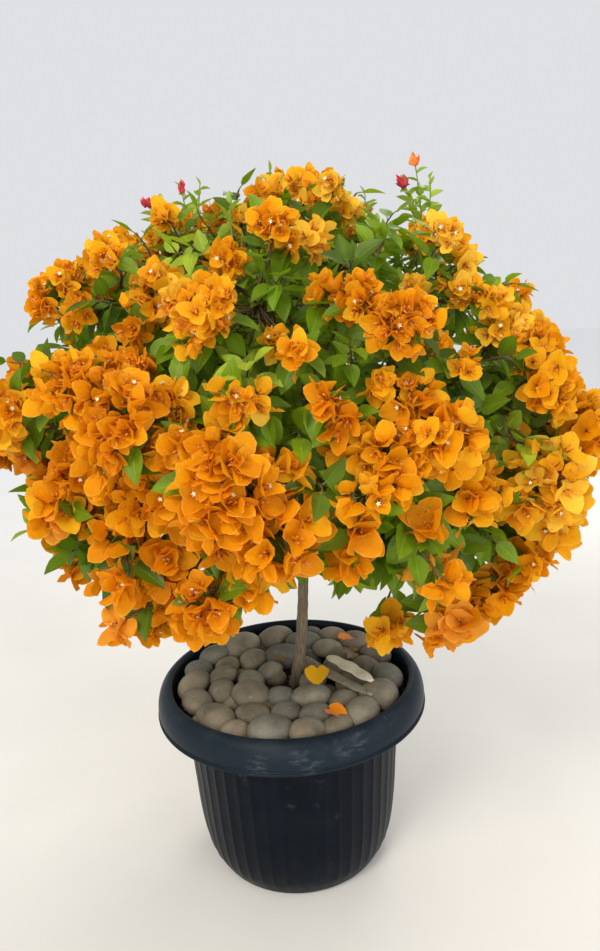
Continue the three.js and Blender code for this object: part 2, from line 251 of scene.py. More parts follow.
def ballFaces(rows, columns):  # the faces of a closed skin of rows rings
    quads, places = ringFaces(rows, columns, rows)
    one = np.arange(columns)
    two = (one + 1) % columns
    top = rows * columns + 1
    below = np.stack([np.zeros_like(one), two + 1, one + 1], -1)
    above = np.stack([one + top - columns, two + top - columns, np.full_like(one, top)], -1)
    low, high = (
        np.stack([np.stack(shares, -1) / columns, np.tile(heights, (columns, 1))], -1)
        for shares, heights in (((one + 0.5, one + 1, one), (0, 0.001, 0.001)),
                                ((one, one + 1, one + 0.5), (0.999, 0.999, 1))))
    return [quads + 1, below, above], [places, low, high]


def repeated(faces, places, count, stride):
    # the same faces again for each of count shapes that have stride points apiece
    shift = (np.arange(count) * stride)[:, None, None]
    return ([(face[None] + shift).reshape(-1, face.shape[1]) for face in faces],
            [np.tile(place, (count, 1, 1)) for place in places])


def smoothLine(points, steps):
    # a curve through every point: each stretch leaves along the line between its neighbours
    points = np.asarray(points, float)
    line = np.vstack([2 * points[0] - points[1], points, 2 * points[-1] - points[-2]])
    t = np.linspace(0, 1, steps, endpoint=False)[None, :, None]
    a, b, c, d = line[:-3, None], line[1:-2, None], line[2:-1, None], line[3:, None]
    curve = 0.5 * (2 * b + (c - a) * t + (2 * a - 5 * b + 4 * c - d) * t ** 2
                   + (3 * b - a - 3 * c + d) * t ** 3)
    return np.vstack([curve.reshape(-1, points.shape[1]), points[-1]])


def sweep(paths, radii, sides):
    # rings set square to each path, with a flat face at either end; a radius for each ring, for each ring
    # of every path, or for each point of them
    paths, radii = np.asarray(paths, float), np.asarray(radii, float)
    count, length = paths.shape[:2]
    tangent = unit(np.gradient(paths, axis=1))
    chord = np.abs(unit(paths[:, -1] - paths[:, 0]))
    guide = np.eye(3)[np.argmin(chord, axis=1)][:, None]
    side = unit(guide - tangent * (tangent * guide).sum(-1, keepdims=True))
    other = np.cross(tangent, side)
    turn = around(sides)
    ring = side[:, :, None] * np.cos(turn)[:, None] + other[:, :, None] * np.sin(turn)[:, None]
    if radii.ndim < 3:
        radii = radii[..., None]
    points = paths[:, :, None] + ring * radii[..., None]
    quads, places = ringFaces(length, sides, length - 1)
    one = np.arange(sides)
    ends = [one[::-1][None], (one + (length - 1) * sides)[None]]
    rim = np.stack([0.5 + 0.02 * np.cos(turn), 0.5 + 0.02 * np.sin(turn)], -1)[None]
    faces, places = repeated([quads, *ends], [places, rim[:, ::-1], rim], count, length * sides)
    return points, faces, places


def bladeFaces(rows, columns):  # rows of points across a blade, joined up to one point at its tip
    row, column = np.meshgrid(np.arange(rows - 1), np.arange(columns), indexing="ij")
    wide = columns + 1
    quads = np.stack([row * wide + column, row * wide + column + 1,
                      (row + 1) * wide + column + 1, (row + 1) * wide + column], -1).reshape(-1, 4)
    one = np.arange(columns) + (rows - 1) * wide
    return [quads, np.stack([one, one + 1, np.full_like(one, rows * wide)], -1)]


def blades(root, along, face, length, width, curl, shape, phase, cup):
    # a sheet from each root: its mid line starts along, and bends back from its face by curl; it is as
    # wide as the breadths, its edges stand up by cup, and waves of ruffle run along them
    rows, columns = len(shape["shares"]) - 1, shape["columns"]
    share, breadth = np.array(shape["shares"]), np.array(shape["breadths"])
    across = np.linspace(-1, 1, columns + 1)
    along, face = unit(along), unit(face)
    face = unit(face - along * (face * along).sum(-1, keepdims=True))
    middle = (share[1:] + share[:-1]) / 2
    bendMid = (curl[:, None] * middle ** shape["bend"])[..., None]
    bendAt = (curl[:, None] * share ** shape["bend"])[..., None]
    step = along[:, None] * np.cos(bendMid) - face[:, None] * np.sin(bendMid)
    step = step * (length[:, None] * np.diff(share))[..., None]
    line = root[:, None] + np.concatenate([np.zeros_like(step[:, :1]), np.cumsum(step, 1)], 1)
    normal = face[:, None] * np.cos(bendAt) + along[:, None] * np.sin(bendAt)
    sideways = np.cross(along, face)
    half = width[:, None, None] / 2 * breadth[None, :, None]
    wave = np.sin(2 * math.pi * shape["waves"] * share[None, :rows, None] + phase[:, None, None]
                  + 2.1 * (across > 0)) * shape["ruffle"] * length[:, None, None]
    lift = half * cup[:, None, None] * np.abs(across) ** 1.5 + wave * across ** 2 * (breadth > 0.5)[:, None]
    lift = lift - half * shape["crease"] * (1 - np.abs(across))
    points = (line[:, :rows, None] + sideways[:, None, None] * (half * across)[..., None]
              + normal[:, :rows, None] * lift[..., None])
    lobes = np.zeros((rows, columns + 1))
    lobes[0] = shape["lobes"] * np.abs(np.sin(math.pi * across))
    points = points - along[:, None, None] * (lobes[None] * length[:, None, None])[..., None]
    points = np.concatenate([points.reshape(len(root), -1, 3), line[:, rows:]], 1)
    faces = bladeFaces(rows, columns)
    spots = np.stack([np.tile((across + 1) / 2, rows), np.repeat(share[:rows], columns + 1)], -1)
    spots = np.vstack([spots, (0.5, 1.0)])
    return (points, *repeated(faces, [spots[part] for part in faces], len(root), len(spots)))


# camera: stands where the photo was taken from, in millimetres and degrees
view = {"eye": (29.4, -969.8, 780.1), "pitch": 13.04, "roll": 3.17, "lens": 28.0}


def placeCamera():
    # looks along +Y, tipped down by the pitch and turned about its own line of sight by the roll
    pitch, roll = math.radians(view["pitch"]), math.radians(view["roll"])
    right = np.array((1.0, 0, 0))
    above = np.array((0, math.sin(pitch), math.cos(pitch)))
    acrossFrame = right * math.cos(roll) - above * math.sin(roll)
    upFrame = right * math.sin(roll) + above * math.cos(roll)
    lens = bpy.data.cameras.new("photoCamera")
    lens.lens = view["lens"]
    lens.sensor_width = 36
    lens.clip_end = 60
    camera = bpy.data.objects.new("photoCamera", lens)
    camera.matrix_world = standing(acrossFrame, upFrame, np.cross(acrossFrame, upFrame),
                                   np.array(view["eye"]) / 1000)
    scene.collection.objects.link(camera)
    scene.camera = camera


placeCamera()
scene.view_settings.view_transform = "Standard"
print("camera placed")


# stage, in metres: a pale floor that fades out far off, and four soft lights, each with its place, size,
# power and colour
studio = {"side": 14.0, "floor": (224, 222, 217), "farFloor": (249, 249, 249), "fade": (1.0, 3.4),
          "sky": (238, 240, 243), "skyStrength": 0.86, "lit": (0, 0, 0.6),
          "lights": {"keyLight": ((-1.1, -2.2, 2.6), 1.2, 58, (255, 246, 230)),
                     "fillLight": ((1.9, -2.0, 1.0), 1.8, 26, (242, 245, 255)),
                     "frontLight": ((-0.7, -3.0, 0.9), 2.2, 28, (250, 248, 244)),
                     "rimLight": ((0.9, 2.1, 2.3), 1.5, 34, (255, 248, 238))}}


def floorMaterial():
    material, tree, shader, spot = newMaterial("paleFloor", 0.75, 0.2)
    pale = paint(*studio["floor"])
    dim = tuple(0.93 * x for x in pale[:3]) + (1.0,)
    away = addNode(tree, "VectorMath", {0: spot}, operation="LENGTH").outputs["Value"]
    colour = blendColours(tree, stretch(tree, away, *studio["fade"]),
                          ramp(tree, noise(tree, spot, 3.0, 4.0), (0.3, dim), (0.7, pale)),
                          paint(*studio["farFloor"]))
    tree.links.new(colour, shader.inputs["Base Color"])
    return material


def buildStage():
    side = studio["side"]
    mesh = bpy.data.meshes.new("studioFloor")
    mesh.from_pydata([(-side, -side, 0), (side, -side, 0), (side, side, 0), (-side, side, 0)], [],
                     [(0, 1, 2, 3)])
    mesh.materials.append(floorMaterial())
    floor = bpy.data.objects.new("studioFloor", mesh)
    scene.collection.objects.link(floor)
    world = bpy.data.worlds.new("studioSky")
    world.use_nodes = True
    sky = world.node_tree.nodes["Background"]
    sky.inputs["Color"].default_value = paint(*studio["sky"])
    sky.inputs["Strength"].default_value = studio["skyStrength"]
    scene.world = world
    for name, (spot, size, power, colour) in studio["lights"].items():
        light = bpy.data.lights.new(name, "AREA")
        light.shape, light.size, light.energy = "DISK", size, power
        light.color = paint(*colour)[:3]
        lamp = bpy.data.objects.new(name, light)
        back = unit(np.array(spot) - studio["lit"])
        across = unit(np.cross(up, back))
        lamp.matrix_world = standing(across, np.cross(back, across), back, spot)
        scene.collection.objects.link(lamp)


buildStage()
print("stage set")


# pot: the profile goes up the outside from the foot, over the rolled rim and down the inside. The scuffs
# are pale rubs on the front of the rim
pot = {"columns": 384, "flutes": 48, "ribHeight": 0.8, "hollow": 0.4, "fluteFrom": (14, 12),
       "fluteTo": (216, 8), "rimRows": 60, "floor": 6, "colour": (7, 13, 21), "rimHighlightColour": (26, 35, 43),
       "dust": (52, 59, 64), "scuff": (96, 104, 110), "splash": (58, 56, 52),
       "scuffs": ((-41, -183, 244), (25, -188, 244), (85, -165, 259), (65, -175, 256), (11, -187, 251)),
       "outside": [
           (60, 0), (108, 0), (115.5, 0.3), (119.6, 2.2), (122.4, 6), (126.2, 13), (130.6, 22), (134.3, 34),
           (137.7, 50), (140.6, 70), (143, 95), (145.2, 130), (147.4, 165), (149.2, 200), (150, 220),
           (150.4, 226), (151.4, 228.6), (154.6, 229.4), (170, 229.5), (184.5, 229.3), (187.8, 229.5),
           (189.5, 230.3), (190, 231.7), (189.5, 233.1), (188.1, 234), (187.3, 235), (187.5, 236.1),
           (188.5, 237), (188.9, 238.6), (188.9, 243), (188.2, 249), (186.5, 256), (183.6, 262.2),
           (179.6, 267), (175.6, 269.6), (171.9, 270.2), (169.2, 269), (167.5, 266.3), (166.6, 261),
           (165.4, 250), (163.6, 240)],
       "inside": [(163, 238), (150, 233), (146, 223), (139, 95), (130, 32), (116, 6), (60, 6)]}


def potMaterial():
    material, tree, shader, spot = newMaterial("potPlastic", 0.42, 0.08)
    height = addNode(tree, "SeparateXYZ", {"Vector": spot}).outputs["Z"]
    rim = stretch(tree, height, 0.224, 0.236)
    top = stretch(tree, height, 0.248, 0.268)
    body = blendColours(tree, noise(tree, scaled(tree, spot, 60, 60, 7), 1.0, 4.0),
                        toned(pot["colour"], 0.82), toned(pot["colour"], 1.22))
    # painted highlight: the rim is painted a lighter colour than the body, for the light on its rolled top
    colour = blendColours(tree, rim, body, paint(*pot["rimHighlightColour"]))
    dust = stretch(tree, noise(tree, spot, 26, 5.0, 0.62), 0.42, 0.75)
    dust = times(tree, dust, stretch(tree, top, 0, 1, 0.07, 0.5))
    colour = blendColours(tree, dust, colour, paint(*pot["dust"]))
    rubbed = stretch(tree, noise(tree, scaled(tree, spot, 42, 42, 60), 1.0, 6.0, 0.7), 0.6, 0.72)
    rubbed = times(tree, times(tree, rubbed, stretch(tree, noise(tree, spot, 9, 2.0), 0.52, 0.62)),
                   stretch(tree, rim, 0, 1, 0.25, 0.75))
    scratches = noise(tree, scaled(tree, spot, 60, 60, 210), 1.0, 5.0, 0.7)
    scratches = stretch(tree, scratches, 0.46, 0.66, 0.0, 0.46)
    for x, y, z in pot["scuffs"]:
        away = addNode(tree, "VectorMath", {0: spot, 1: (x / 1000, y / 1000, z / 1000)}, operation="DISTANCE")
        near = stretch(tree, away.outputs["Value"], 0.018, 0.002)
        rubbed = sums(tree, "MAXIMUM", rubbed, times(tree, near, scratches))
    colour = blendColours(tree, rubbed, colour, paint(*pot["scuff"]))
    splash = times(tree, stretch(tree, height, 0.07, 0.0),
                   stretch(tree, noise(tree, spot, 38, 5.0, 0.7), 0.45, 0.75, 0, 0.4))
    colour = blendColours(tree, splash, colour, paint(*pot["splash"]))
    rough = stretch(tree, sums(tree, "ADD", dust, rubbed), 0, 0.8, 0.36, 0.72)
    tree.links.new(rough, shader.inputs["Roughness"])
    grain = sums(tree, "ADD", noise(tree, spot, 420), times(tree, noise(tree, spot, 30, 4.0), 2.5))
    dress(tree, shader, colour, grain, 0.0006, 0.35)
    return material


def buildPot():
    # radius over angle and profile: between narrow upright ribs the wall is slightly hollow
    outside = smoothLine(pot["outside"], 3)
    line = np.vstack([outside, smoothLine(pot["inside"], 3)])
    radius, height = line.T
    wave = 0.5 + 0.5 * np.cos(around(pot["columns"]) * pot["flutes"])
    relief = pot["ribHeight"] * wave ** 9 - pot["hollow"] * (1 - wave) ** 0.7
    (start, fadeIn), (end, fadeOut) = pot["fluteFrom"], pot["fluteTo"]
    fade = np.clip((height - start) / fadeIn, 0, 1) * np.clip((end - height) / fadeOut, 0, 1)
    fade = np.where(np.arange(len(line)) < len(outside) - pot["rimRows"], fade ** 0.6, 0)
    skin = ringsAt(radius[:, None] + relief[None] * fade[:, None], height, pot["columns"])
    addPiece("potShell", [(closedSkin(0, skin, pot["floor"]), *ballFaces(len(line), pot["columns"]))],
             potMaterial(), ["pot"])


buildPot()
print("pot made")


# soil, with grit lying on it
soil = {"top": 244.6, "bumps": 1.5, "columns": 96, "floor": 8, "reach": 160,
        "side": [(60, 8), (112, 8), (128, 34), (137, 95), (144, 222), (148, 231.5), (161, 239), (162.6, 243)],
        "colour": (58, 47, 37), "dark": (31, 25, 20), "pale": (98, 82, 64), "grit": 750, "gritReach": 158,
        "gritSize": (1.1, 3.1), "gritColours": {"paleGrit": (150, 140, 124), "darkGrit": (104, 94, 82)}}


def soilMaterial():
    material, tree, shader, spot = newMaterial("darkSoil", 0.95, 0.2)
    colour = ramp(tree, noise(tree, spot, 130, 6.0, 0.7), (0.35, paint(*soil["dark"])),
                  (0.55, paint(*soil["colour"])), (0.75, paint(*soil["pale"])))
    dress(tree, shader, colour, noise(tree, spot, 260, 5.0, 0.7), 0.003, 0.9)
    return material


def gritMaterial(name, colour):
    material, tree, shader, spot = newMaterial(name, 0.85, 0.3)
    colours = shades(tree, noise(tree, spot, 180, 2.0), colour, (0.3, 0.7), (0.7, 1))
    dress(tree, shader, colours, noise(tree, spot, 900, 2.0), 0.0006, 0.6)
    return material


def buildSoil():
    side = smoothLine(soil["side"], 3)
    line = np.vstack([side, np.stack([np.linspace(soil["reach"], 4, 40), np.full(40, soil["top"])], -1)])
    skin = ringsAt(line[:, :1], line[:, 1], soil["columns"])
    x, y = skin[..., 0], skin[..., 1]
    bumps = (np.sin(x / 7 + np.sin(y / 11) * 2) + np.sin(y / 6 + np.sin(x / 9) * 2)) * soil["bumps"]
    skin[len(side):, :, 2] += bumps[len(side):]
    addPiece("pottingSoil", [(closedSkin(soil["floor"], skin, soil["top"]),
                              *ballFaces(len(line), soil["columns"]))], soilMaterial(), ["soil"])
    corners = np.array([(1, 0, 0), (0, 1, 0), (-1, 0, 0), (0, -1, 0), (0, 0, 1), (0, 0, -1)], float)
    faces = [np.array([(k, (k + 1) % 4, 4) for k in range(4)] + [((k + 1) % 4, k, 5) for k in range(4)])]
    places = [np.tile(((0, 0), (1, 0), (0.5, 1)), (8, 1, 1))]
    count = soil["grit"]
    for name, colour in soil["gritColours"].items():
        away = soil["gritReach"] * np.sqrt(spread(0.02, 1, count))
        angle = spread(0, 2 * math.pi, count)
        middle = polar(away, angle, soil["top"] + spread(0.5, 3.5, count))
        shape = corners * spread(0.6, 1.3, (count, 6, 3)) * spread(*soil["gritSize"], (count, 1, 1))
        grains = middle[:, None] + turned(shape, spread(0, 2 * math.pi, count))
        addPiece(name, [(grains, *repeated(faces, places, count, 6))], gritMaterial(name, colour),
                 smooth=False)


buildSoil()
print("soil made")


# pebbles: rings of river stones round the trunk, and some low, smaller ones that fill the gaps
pebbles = {"along": 48, "across": 38.5, "length": 26.5, "width": 20.4, "thickness": 15.5, "sink": 5,
           "bed": 246, "bedRadius": 162.8, "rows": 15, "columns": 24, "swell": 0.035, "pushes": 80,
           "seed": 60, "low": 34, "lowReach": 148, "lowSize": (15, 19), "lowShape": (1.1, 0.9, 0.7),
           "trunkAt": (8.5, 8.0), "trunkRoom": 31, "trunkGap": 9, "speck": (92, 82, 70),
           "bloom": (196, 186, 166),
           "colours": {"brownPebbles": (130, 119, 100), "greyPebbles": (118, 115, 102),
                       "palePebbles": (146, 137, 118)}}


def stoneMaterial(name, colour):
    material, tree, shader, spot = newMaterial(name, 0.7, 0.35)
    cloud = noise(tree, spot, 22, 5.0, 0.6)
    speck = noise(tree, spot, 380, 3.0, 0.7)
    base = shades(tree, cloud, colour, (0.3, 0.74), (0.52, 1), (0.74, 1.2))
    base = blendColours(tree, stretch(tree, speck, 0.56, 0.7, 0, 0.34), base, paint(*pebbles["speck"]))
    base = blendColours(tree, stretch(tree, noise(tree, spot, 90, 6.0, 0.75), 0.57, 0.72, 0, 0.35), base,
                        paint(*pebbles["bloom"]))
    dress(tree, shader, base, sums(tree, "ADD", speck, times(tree, cloud, 2.0)), 0.0009, 0.55)
    return material


def stones(middle, axes, heading, tip, seed):
    # radius over two angles: an ellipsoid whose skin swells by slow waves across its directions; it is
    # tipped about its length and then turned to its heading
    rows, columns = pebbles["rows"], pebbles["columns"]
    rise = (np.arange(rows) + 1) / (rows + 1) * math.pi - math.pi / 2
    ball = closedSkin(-1, ringsAt(np.cos(rise)[:, None], np.sin(rise), columns), 1)
    ways = unit(np.random.default_rng(seed).normal(size=(len(middle), 5, 3)))
    phase = np.random.default_rng(seed + 1).uniform(0, 6.3, (len(middle), 5, 1))
    swell = np.sin(np.einsum("pk,nwk->nwp", ball, ways) * 2.3 + phase).sum(1) * pebbles["swell"]
    shape = ball * axes[:, None] * (1 + swell)[..., None]
    shape = turned(np.roll(turned(np.roll(shape, -1, -1), tip), 1, -1), heading)
    return (middle[:, None] + shape, *repeated(*ballFaces(rows, columns), len(middle), len(ball)))


def pushApart(middle, axes):  # the stones shoulder one another apart until they hardly overlap
    girth = (axes[:, 0] + axes[:, 1]) / 2
    for _ in range(pebbles["pushes"]):
        gap = middle[:, None, :2] - middle[None, :, :2]
        far = np.linalg.norm(gap, axis=-1) + np.eye(len(middle)) * 999
        close = np.clip(girth[:, None] + girth[None] - 1 - far, 0, None)
        middle[:, :2] += 0.25 * (gap / far[..., None] * close[..., None]).sum(1)
        off = middle[:, :2] - pebbles["trunkAt"]
        room = np.linalg.norm(off, axis=1)
        middle[:, :2] += unit(off) * np.clip(pebbles["trunkRoom"] - room, 0, None)[:, None]
        limit = pebbles["bedRadius"] - 2 - axes[:, 1]
        middle[:, :2] *= np.minimum(1, limit / np.linalg.norm(middle[:, :2], axis=1))[:, None]


def buildPebbles():
    outer = pebbles["bedRadius"] - 1.2 * pebbles["width"]
    seeds, angles, reaches = [], [], []
    for ring in range(int(outer // pebbles["across"]) + 1):
        reach = outer - ring * pebbles["across"]
        count = int(2 * math.pi * reach // pebbles["along"])
        k = np.arange(count)
        seeds.append(ring * 50 + k)
        angles.append((k + 0.2 * (chance(seeds[-1]) - 0.5) + ring * 0.4) / max(count, 1) * 2 * math.pi)
        reaches.append(np.full(count, reach))
    seed, angle, reach = map(np.concatenate, (seeds, angles, reaches))
    rest = pebbles["bed"] + pebbles["thickness"] - pebbles["sink"]
    middle = polar(reach, angle, rest + 4 * chance(seed + 1600))
    size = 0.78 + 0.42 * chance(seed + 400)
    axes = np.stack([pebbles["length"] * (0.92 + 0.2 * chance(seed + 31)),
                     pebbles["width"] * (0.94 + 0.18 * chance(seed + 57)),
                     pebbles["thickness"] * (0.9 + 0.2 * chance(seed + 83))], -1) * size[:, None]
    pushApart(middle, axes)
    heading = np.arctan2(middle[:, 1], middle[:, 0]) + math.pi / 2 + (chance(seed + 1200) - 0.5) * 0.9
    low = np.arange(pebbles["low"])
    away = pebbles["lowReach"] * np.sqrt((low + 0.6) / len(low))
    small = spread(*pebbles["lowSize"], len(low))
    middle = np.vstack([middle, polar(away, low * goldenAngle, pebbles["bed"] + 2.0)])
    axes = np.vstack([axes, small[:, None] * pebbles["lowShape"]])
    heading = np.concatenate([heading, anyTurn(len(low))])
    tip = np.concatenate([0.5 * (chance(seed + 800) - 0.5), spread(-0.2, 0.2, len(low))])
    clear = np.linalg.norm(middle[:, :2] - pebbles["trunkAt"], axis=1) > axes[:, 1] + pebbles["trunkGap"]
    kind = (chance(np.arange(len(middle)) * 7 + 3) * 3).astype(int)
    for index, (name, colour) in enumerate(pebbles["colours"].items()):
        chosen = clear & (kind == index)
        part = stones(middle[chosen], axes[chosen], heading[chosen], tip[chosen], pebbles["seed"] + index)
        addPiece(name, [part], stoneMaterial(name, colour), ["pebbles"])
    return middle[clear], axes[clear], heading[clear]


stoneMiddles, stoneAxes, stoneHeadings = buildPebbles()
print("pebbles laid")


def stoneTop(spots):  # the highest stone surface under each spot, taken as upright ellipsoids
    gap = np.asarray(spots, float)[:, None, :2] - stoneMiddles[None, :, :2]
    c, s = np.cos(stoneHeadings), np.sin(stoneHeadings)
    far = ((gap[..., 0] * c + gap[..., 1] * s) / stoneAxes[:, 0]) ** 2 \
        + ((gap[..., 1] * c - gap[..., 0] * s) / stoneAxes[:, 1]) ** 2
    top = stoneMiddles[:, 2] + stoneAxes[:, 2] * np.sqrt(np.clip(1 - far, 0, 1))
    return np.where(far < 1, top, soil["top"]).max(1)


# the plant's plan: the same rule that its solids grow by. Each place is an azimuth in degrees, some with
# the turn of the mass's heads
plant = {"soilTop": 240, "trunkRise": 550, "foot": (8, 8), "lean": (0.082, 0.02), "bend": 5, "flare": 4,
         "flareHeight": 12, "stemRadius": 9, "tipRadius": 3.4, "crownCentre": (12.0, 20.0, 630.0),
         "crownRadii": (388.0, 388.0, 312.0), "shell": 0.8, "boughEntry": 0.62}
tiers = {
    "top": {"height": 858, "stagger": 20, "reach": 80, "size": 88, "leave": 772, "drop": 30,
            "places": [(39, 15), (-56, 45), 172]},
    "upper": {"height": 794, "stagger": 4, "size": 100, "leave": 735, "drop": 91,
              "places": [(-46, 15), (-5, 50), (23, 55), (50, 145), 108, 166, -122]},
    "middle": {"height": 677, "stagger": 20, "size": 104, "leave": 640, "drop": 104, "arch": 30,
               "bough": True, "places": [(-41, 14), (-15, -27), (23, -75), (62, -45), 106, 150, -164,
                                         -106]},
    "lower": {"height": 562, "stagger": 10, "size": 100, "leave": 536, "drop": 91, "arch": 54, "bough": True,
              "places": [(-34, -30), (-8, -128), (19, 125), (60, 135), 122, 178, -108]},
    "hanging": {"height": 468, "stagger": 18, "reach": 256, "size": 88, "leave": 445, "drop": 48, "arch": 96,
                "bough": True, "places": [(-28, 10), (43, 5), 134, -146]}}
middleOfCrown, crownRadii = np.array(plant["crownCentre"]), np.array(plant["crownRadii"])


def trunkPoint(height):  # leans steadily and swings once to each side on the way up
    rise = np.asarray(height, float) - plant["soilTop"]
    sway = np.sin(rise / plant["trunkRise"] * 2 * math.pi) * plant["bend"]
    return np.stack([plant["foot"][0] + plant["lean"][0] * rise + sway,
                     plant["foot"][1] + plant["lean"][1] * rise - 0.6 * sway, rise + plant["soilTop"]], -1)


def trunkRadius(height):  # a root flare that dies away, on a slow taper
    rise = np.asarray(height, float) - plant["soilTop"]
    stem, tip = plant["stemRadius"], plant["tipRadius"]
    return plant["flare"] * np.exp(-rise / plant["flareHeight"]) + stem \
        + (tip - stem) * np.clip(rise / plant["trunkRise"], 0, 1) ** 0.8


def crownPlace(azimuth, reach, height):  # a reach out from the crown's upright middle line, 0 to the front
    angle = math.radians(azimuth)
    return np.array((middleOfCrown[0] + reach * math.sin(angle), middleOfCrown[1] - reach * math.cos(angle),
                     height))


def leaning(axis, tilt, turn):  # a direction that leans from an axis by an angle, turned round it
    axis = np.asarray(axis, float)
    steep = np.abs(axis[..., 2:]) >= 0.9
    side = unit(np.where(steep, (1.0, 0, 0), np.cross(axis, np.broadcast_to(up, axis.shape))))
    other = unit(np.cross(axis, side))
    tilt, turn = np.asarray(tilt)[..., None], np.asarray(turn)[..., None]
    return unit(axis * np.cos(tilt) + side * np.sin(tilt) * np.cos(turn)
                + other * np.sin(tilt) * np.sin(turn))


def curvePoint(root, elbow, tip, share):  # a bend from root to tip that leans towards its elbow
    share = np.asarray(share, float)[..., None]
    return (1 - share) ** 2 * root + 2 * share * (1 - share) * elbow + share ** 2 * tip


def evenPoints(root, elbow, tip, shares):  # the same bend, by share of its length
    fine = curvePoint(root, elbow, tip, np.linspace(0, 1, 201))
    run = np.concatenate([[0], np.cumsum(np.linalg.norm(np.diff(fine, axis=0), axis=1))])
    wanted = np.asarray(shares) * run[-1]
    return np.stack([np.interp(wanted, run, fine[:, k]) for k in range(3)], -1), run[-1]


def planMasses():
    rows = []
    for tier, plan in tiers.items():
        count = len(plan["places"])
        stride = 3 if count % 3 else 2
        for i, place in enumerate(plan["places"]):
            seed = len(rows) * 97
            azimuth, turn = place if isinstance(place, tuple) else (place, 360 * chance(seed))
            height = plan["height"] + (-1 if i % 2 else 1) * plan["stagger"]
            fall = (height - middleOfCrown[2]) / (crownRadii[2] * plant["shell"])
            reach = plan.get("reach") or crownRadii[0] * plant["shell"] * math.sqrt(max(1 - fall ** 2, 0.04))
            centre = crownPlace(azimuth, reach, height)
            root = trunkPoint(plan["leave"] - plan["drop"] * ((i * stride) % count) / count)
            elbow = (root + centre) / 2 + up * plan.get("arch", 0)
            length = evenPoints(root, elbow, centre, [1])[1]
            bough = plan.get("bough", False)
            rows.append({
                "name": f"{tier}_{i + 1}", "seed": seed, "turn": math.radians(turn), "size": plan["size"],
                "centre": centre, "root": root, "elbow": elbow, "bough": bough,
                "facing": unit((centre - middleOfCrown) * (1, 1, 0.75)),
                "entry": 1 - plant["boughEntry"] * plan["size"] / length if bough else 0})
    return rows


masses = planMasses()
massCentres = np.array([mass["centre"] for mass in masses])
massSizes = np.array([mass["size"] for mass in masses])
foliageNodes = ["foliage_" + mass["name"] for mass in masses]


def spaceOf(point):  # the mass that a point belongs to: the least squared distance less squared size
    return int((((point - massCentres) ** 2).sum(-1) - massSizes ** 2).argmin())


# trunk and boughs: one skin of bark
limbs = {"trunkSides": 28, "trunkRows": 260, "boughSides": 12, "boughRows": 44, "boughRadii": (4.6, 2.4),
         "stemRadii": (3.4, 1.3), "wander": 2.4, "collar": (0.45, 9), "flare": (1.5, 14), "scars": 9,
         "scarHeight": 1.5, "colour": (128, 113, 90), "dark": (74, 63, 50), "lichen": (126, 120, 106)}


def barkMaterial(name, light, dark, grain=1.0):
    material, tree, shader, spot = newMaterial(name, 0.88, 0.25)
    streak = noise(tree, scaled(tree, spot, 420 * grain, 420 * grain, 46 * grain), 1.0, 5.0, 0.65)
    patch = noise(tree, spot, 34 * grain, 4.0, 0.6)
    colour = ramp(tree, streak, (0.3, paint(*dark)), (0.52, paint(*light)), (0.78, toned(light, 1.25)))
    colour = blendColours(tree, stretch(tree, patch, 0.42, 0.66, 0, 0.5), colour,
                          toned(np.add(dark, limbs["lichen"]), 0.5))
    dress(tree, shader, colour, streak, 0.0016, 0.8)
    return material


def trunkSkin():
    # radius over height and angle: the taper times long ridges, with a fluted flare and raised scars
    heights = np.linspace(plant["soilTop"], plant["soilTop"] + plant["trunkRise"], limbs["trunkRows"])
    h, a = heights[:, None], around(limbs["trunkSides"])[None]
    ridges = (0.035 * np.sin(5 * a + h / 31) + 0.03 * np.sin(9 * a - h / 17 + 2 * np.sin(h / 23))
              + 0.022 * np.sin(13 * a + h / 9) + 0.02 * np.sin(h / 3.1 + 3 * np.sin(a + h / 40)))
    radius = trunkRadius(heights)[:, None] * (1 + ridges)
    swell, reach = limbs["flare"]
    radius = radius + swell * np.exp(-(h - plant["soilTop"]) / reach) * np.sin(4 * a + 0.6) ** 2
    for index in range(limbs["scars"]):  # where shoots once stood
        scar = plant["soilTop"] + 26 + 38 * index + 14 * chance(index + 300)
        apart = np.angle(np.exp(1j * (a - 2 * math.pi * chance(index + 320))))
        radius = radius + limbs["scarHeight"] * np.exp(-((h - scar) / 5) ** 2 - (apart / 0.5) ** 2)
    return sweep(trunkPoint(heights)[None], radius[None], limbs["trunkSides"])


def buildLimbs():
    shares = np.linspace(0, 1, limbs["boughRows"])
    (thick, thin), (root, tip) = limbs["boughRadii"], limbs["stemRadii"]
    swell, reach = limbs["collar"]
    lines, widths = [], []
    for mass in masses:
        line, length = evenPoints(mass["root"], mass["elbow"], mass["centre"], shares)
        sway = np.sin(shares * math.pi) * limbs["wander"]
        phase = 6.3 * chance(mass["seed"] + 41)
        lines.append(line + sway[:, None] * np.stack([np.sin(7 * shares + phase), np.cos(6 * shares + phase),
                                                      np.sin(9 * shares + 2 * phase)], -1))
        width, entry = root + (tip - root) * shares, mass["entry"]
        if mass["bough"]:
            width = np.where(shares < entry, thick + (thin - thick) * shares / entry,
                             thin + (tip - thin) * (shares - entry) / (1 - entry))
        widths.append(width * (1 + swell * np.exp(-shares * length / reach)))
    lines, widths = np.array(lines), np.array(widths)
    turn, along = around(limbs["boughSides"]), shares[:, None]
    knots = 1 + 0.05 * np.sin(3 * turn + along * 40) + 0.05 * np.sin(5 * turn - along * 23) \
        + 0.1 * np.maximum(0, np.sin(along * 60 + 2 * np.sin(turn))) ** 6
    parts = [trunkSkin(), sweep(lines, widths[:, :, None] * knots[None], limbs["boughSides"])]
    replaced = ["trunk"] + ["bough_" + mass["name"] for mass in masses if mass["bough"]]
    addPiece("trunkAndBoughs", parts, barkMaterial("greyBark", limbs["colour"], limbs["dark"]),
             replaced)
    return lines


limbLines = buildLimbs()
print("trunk and boughs grown")


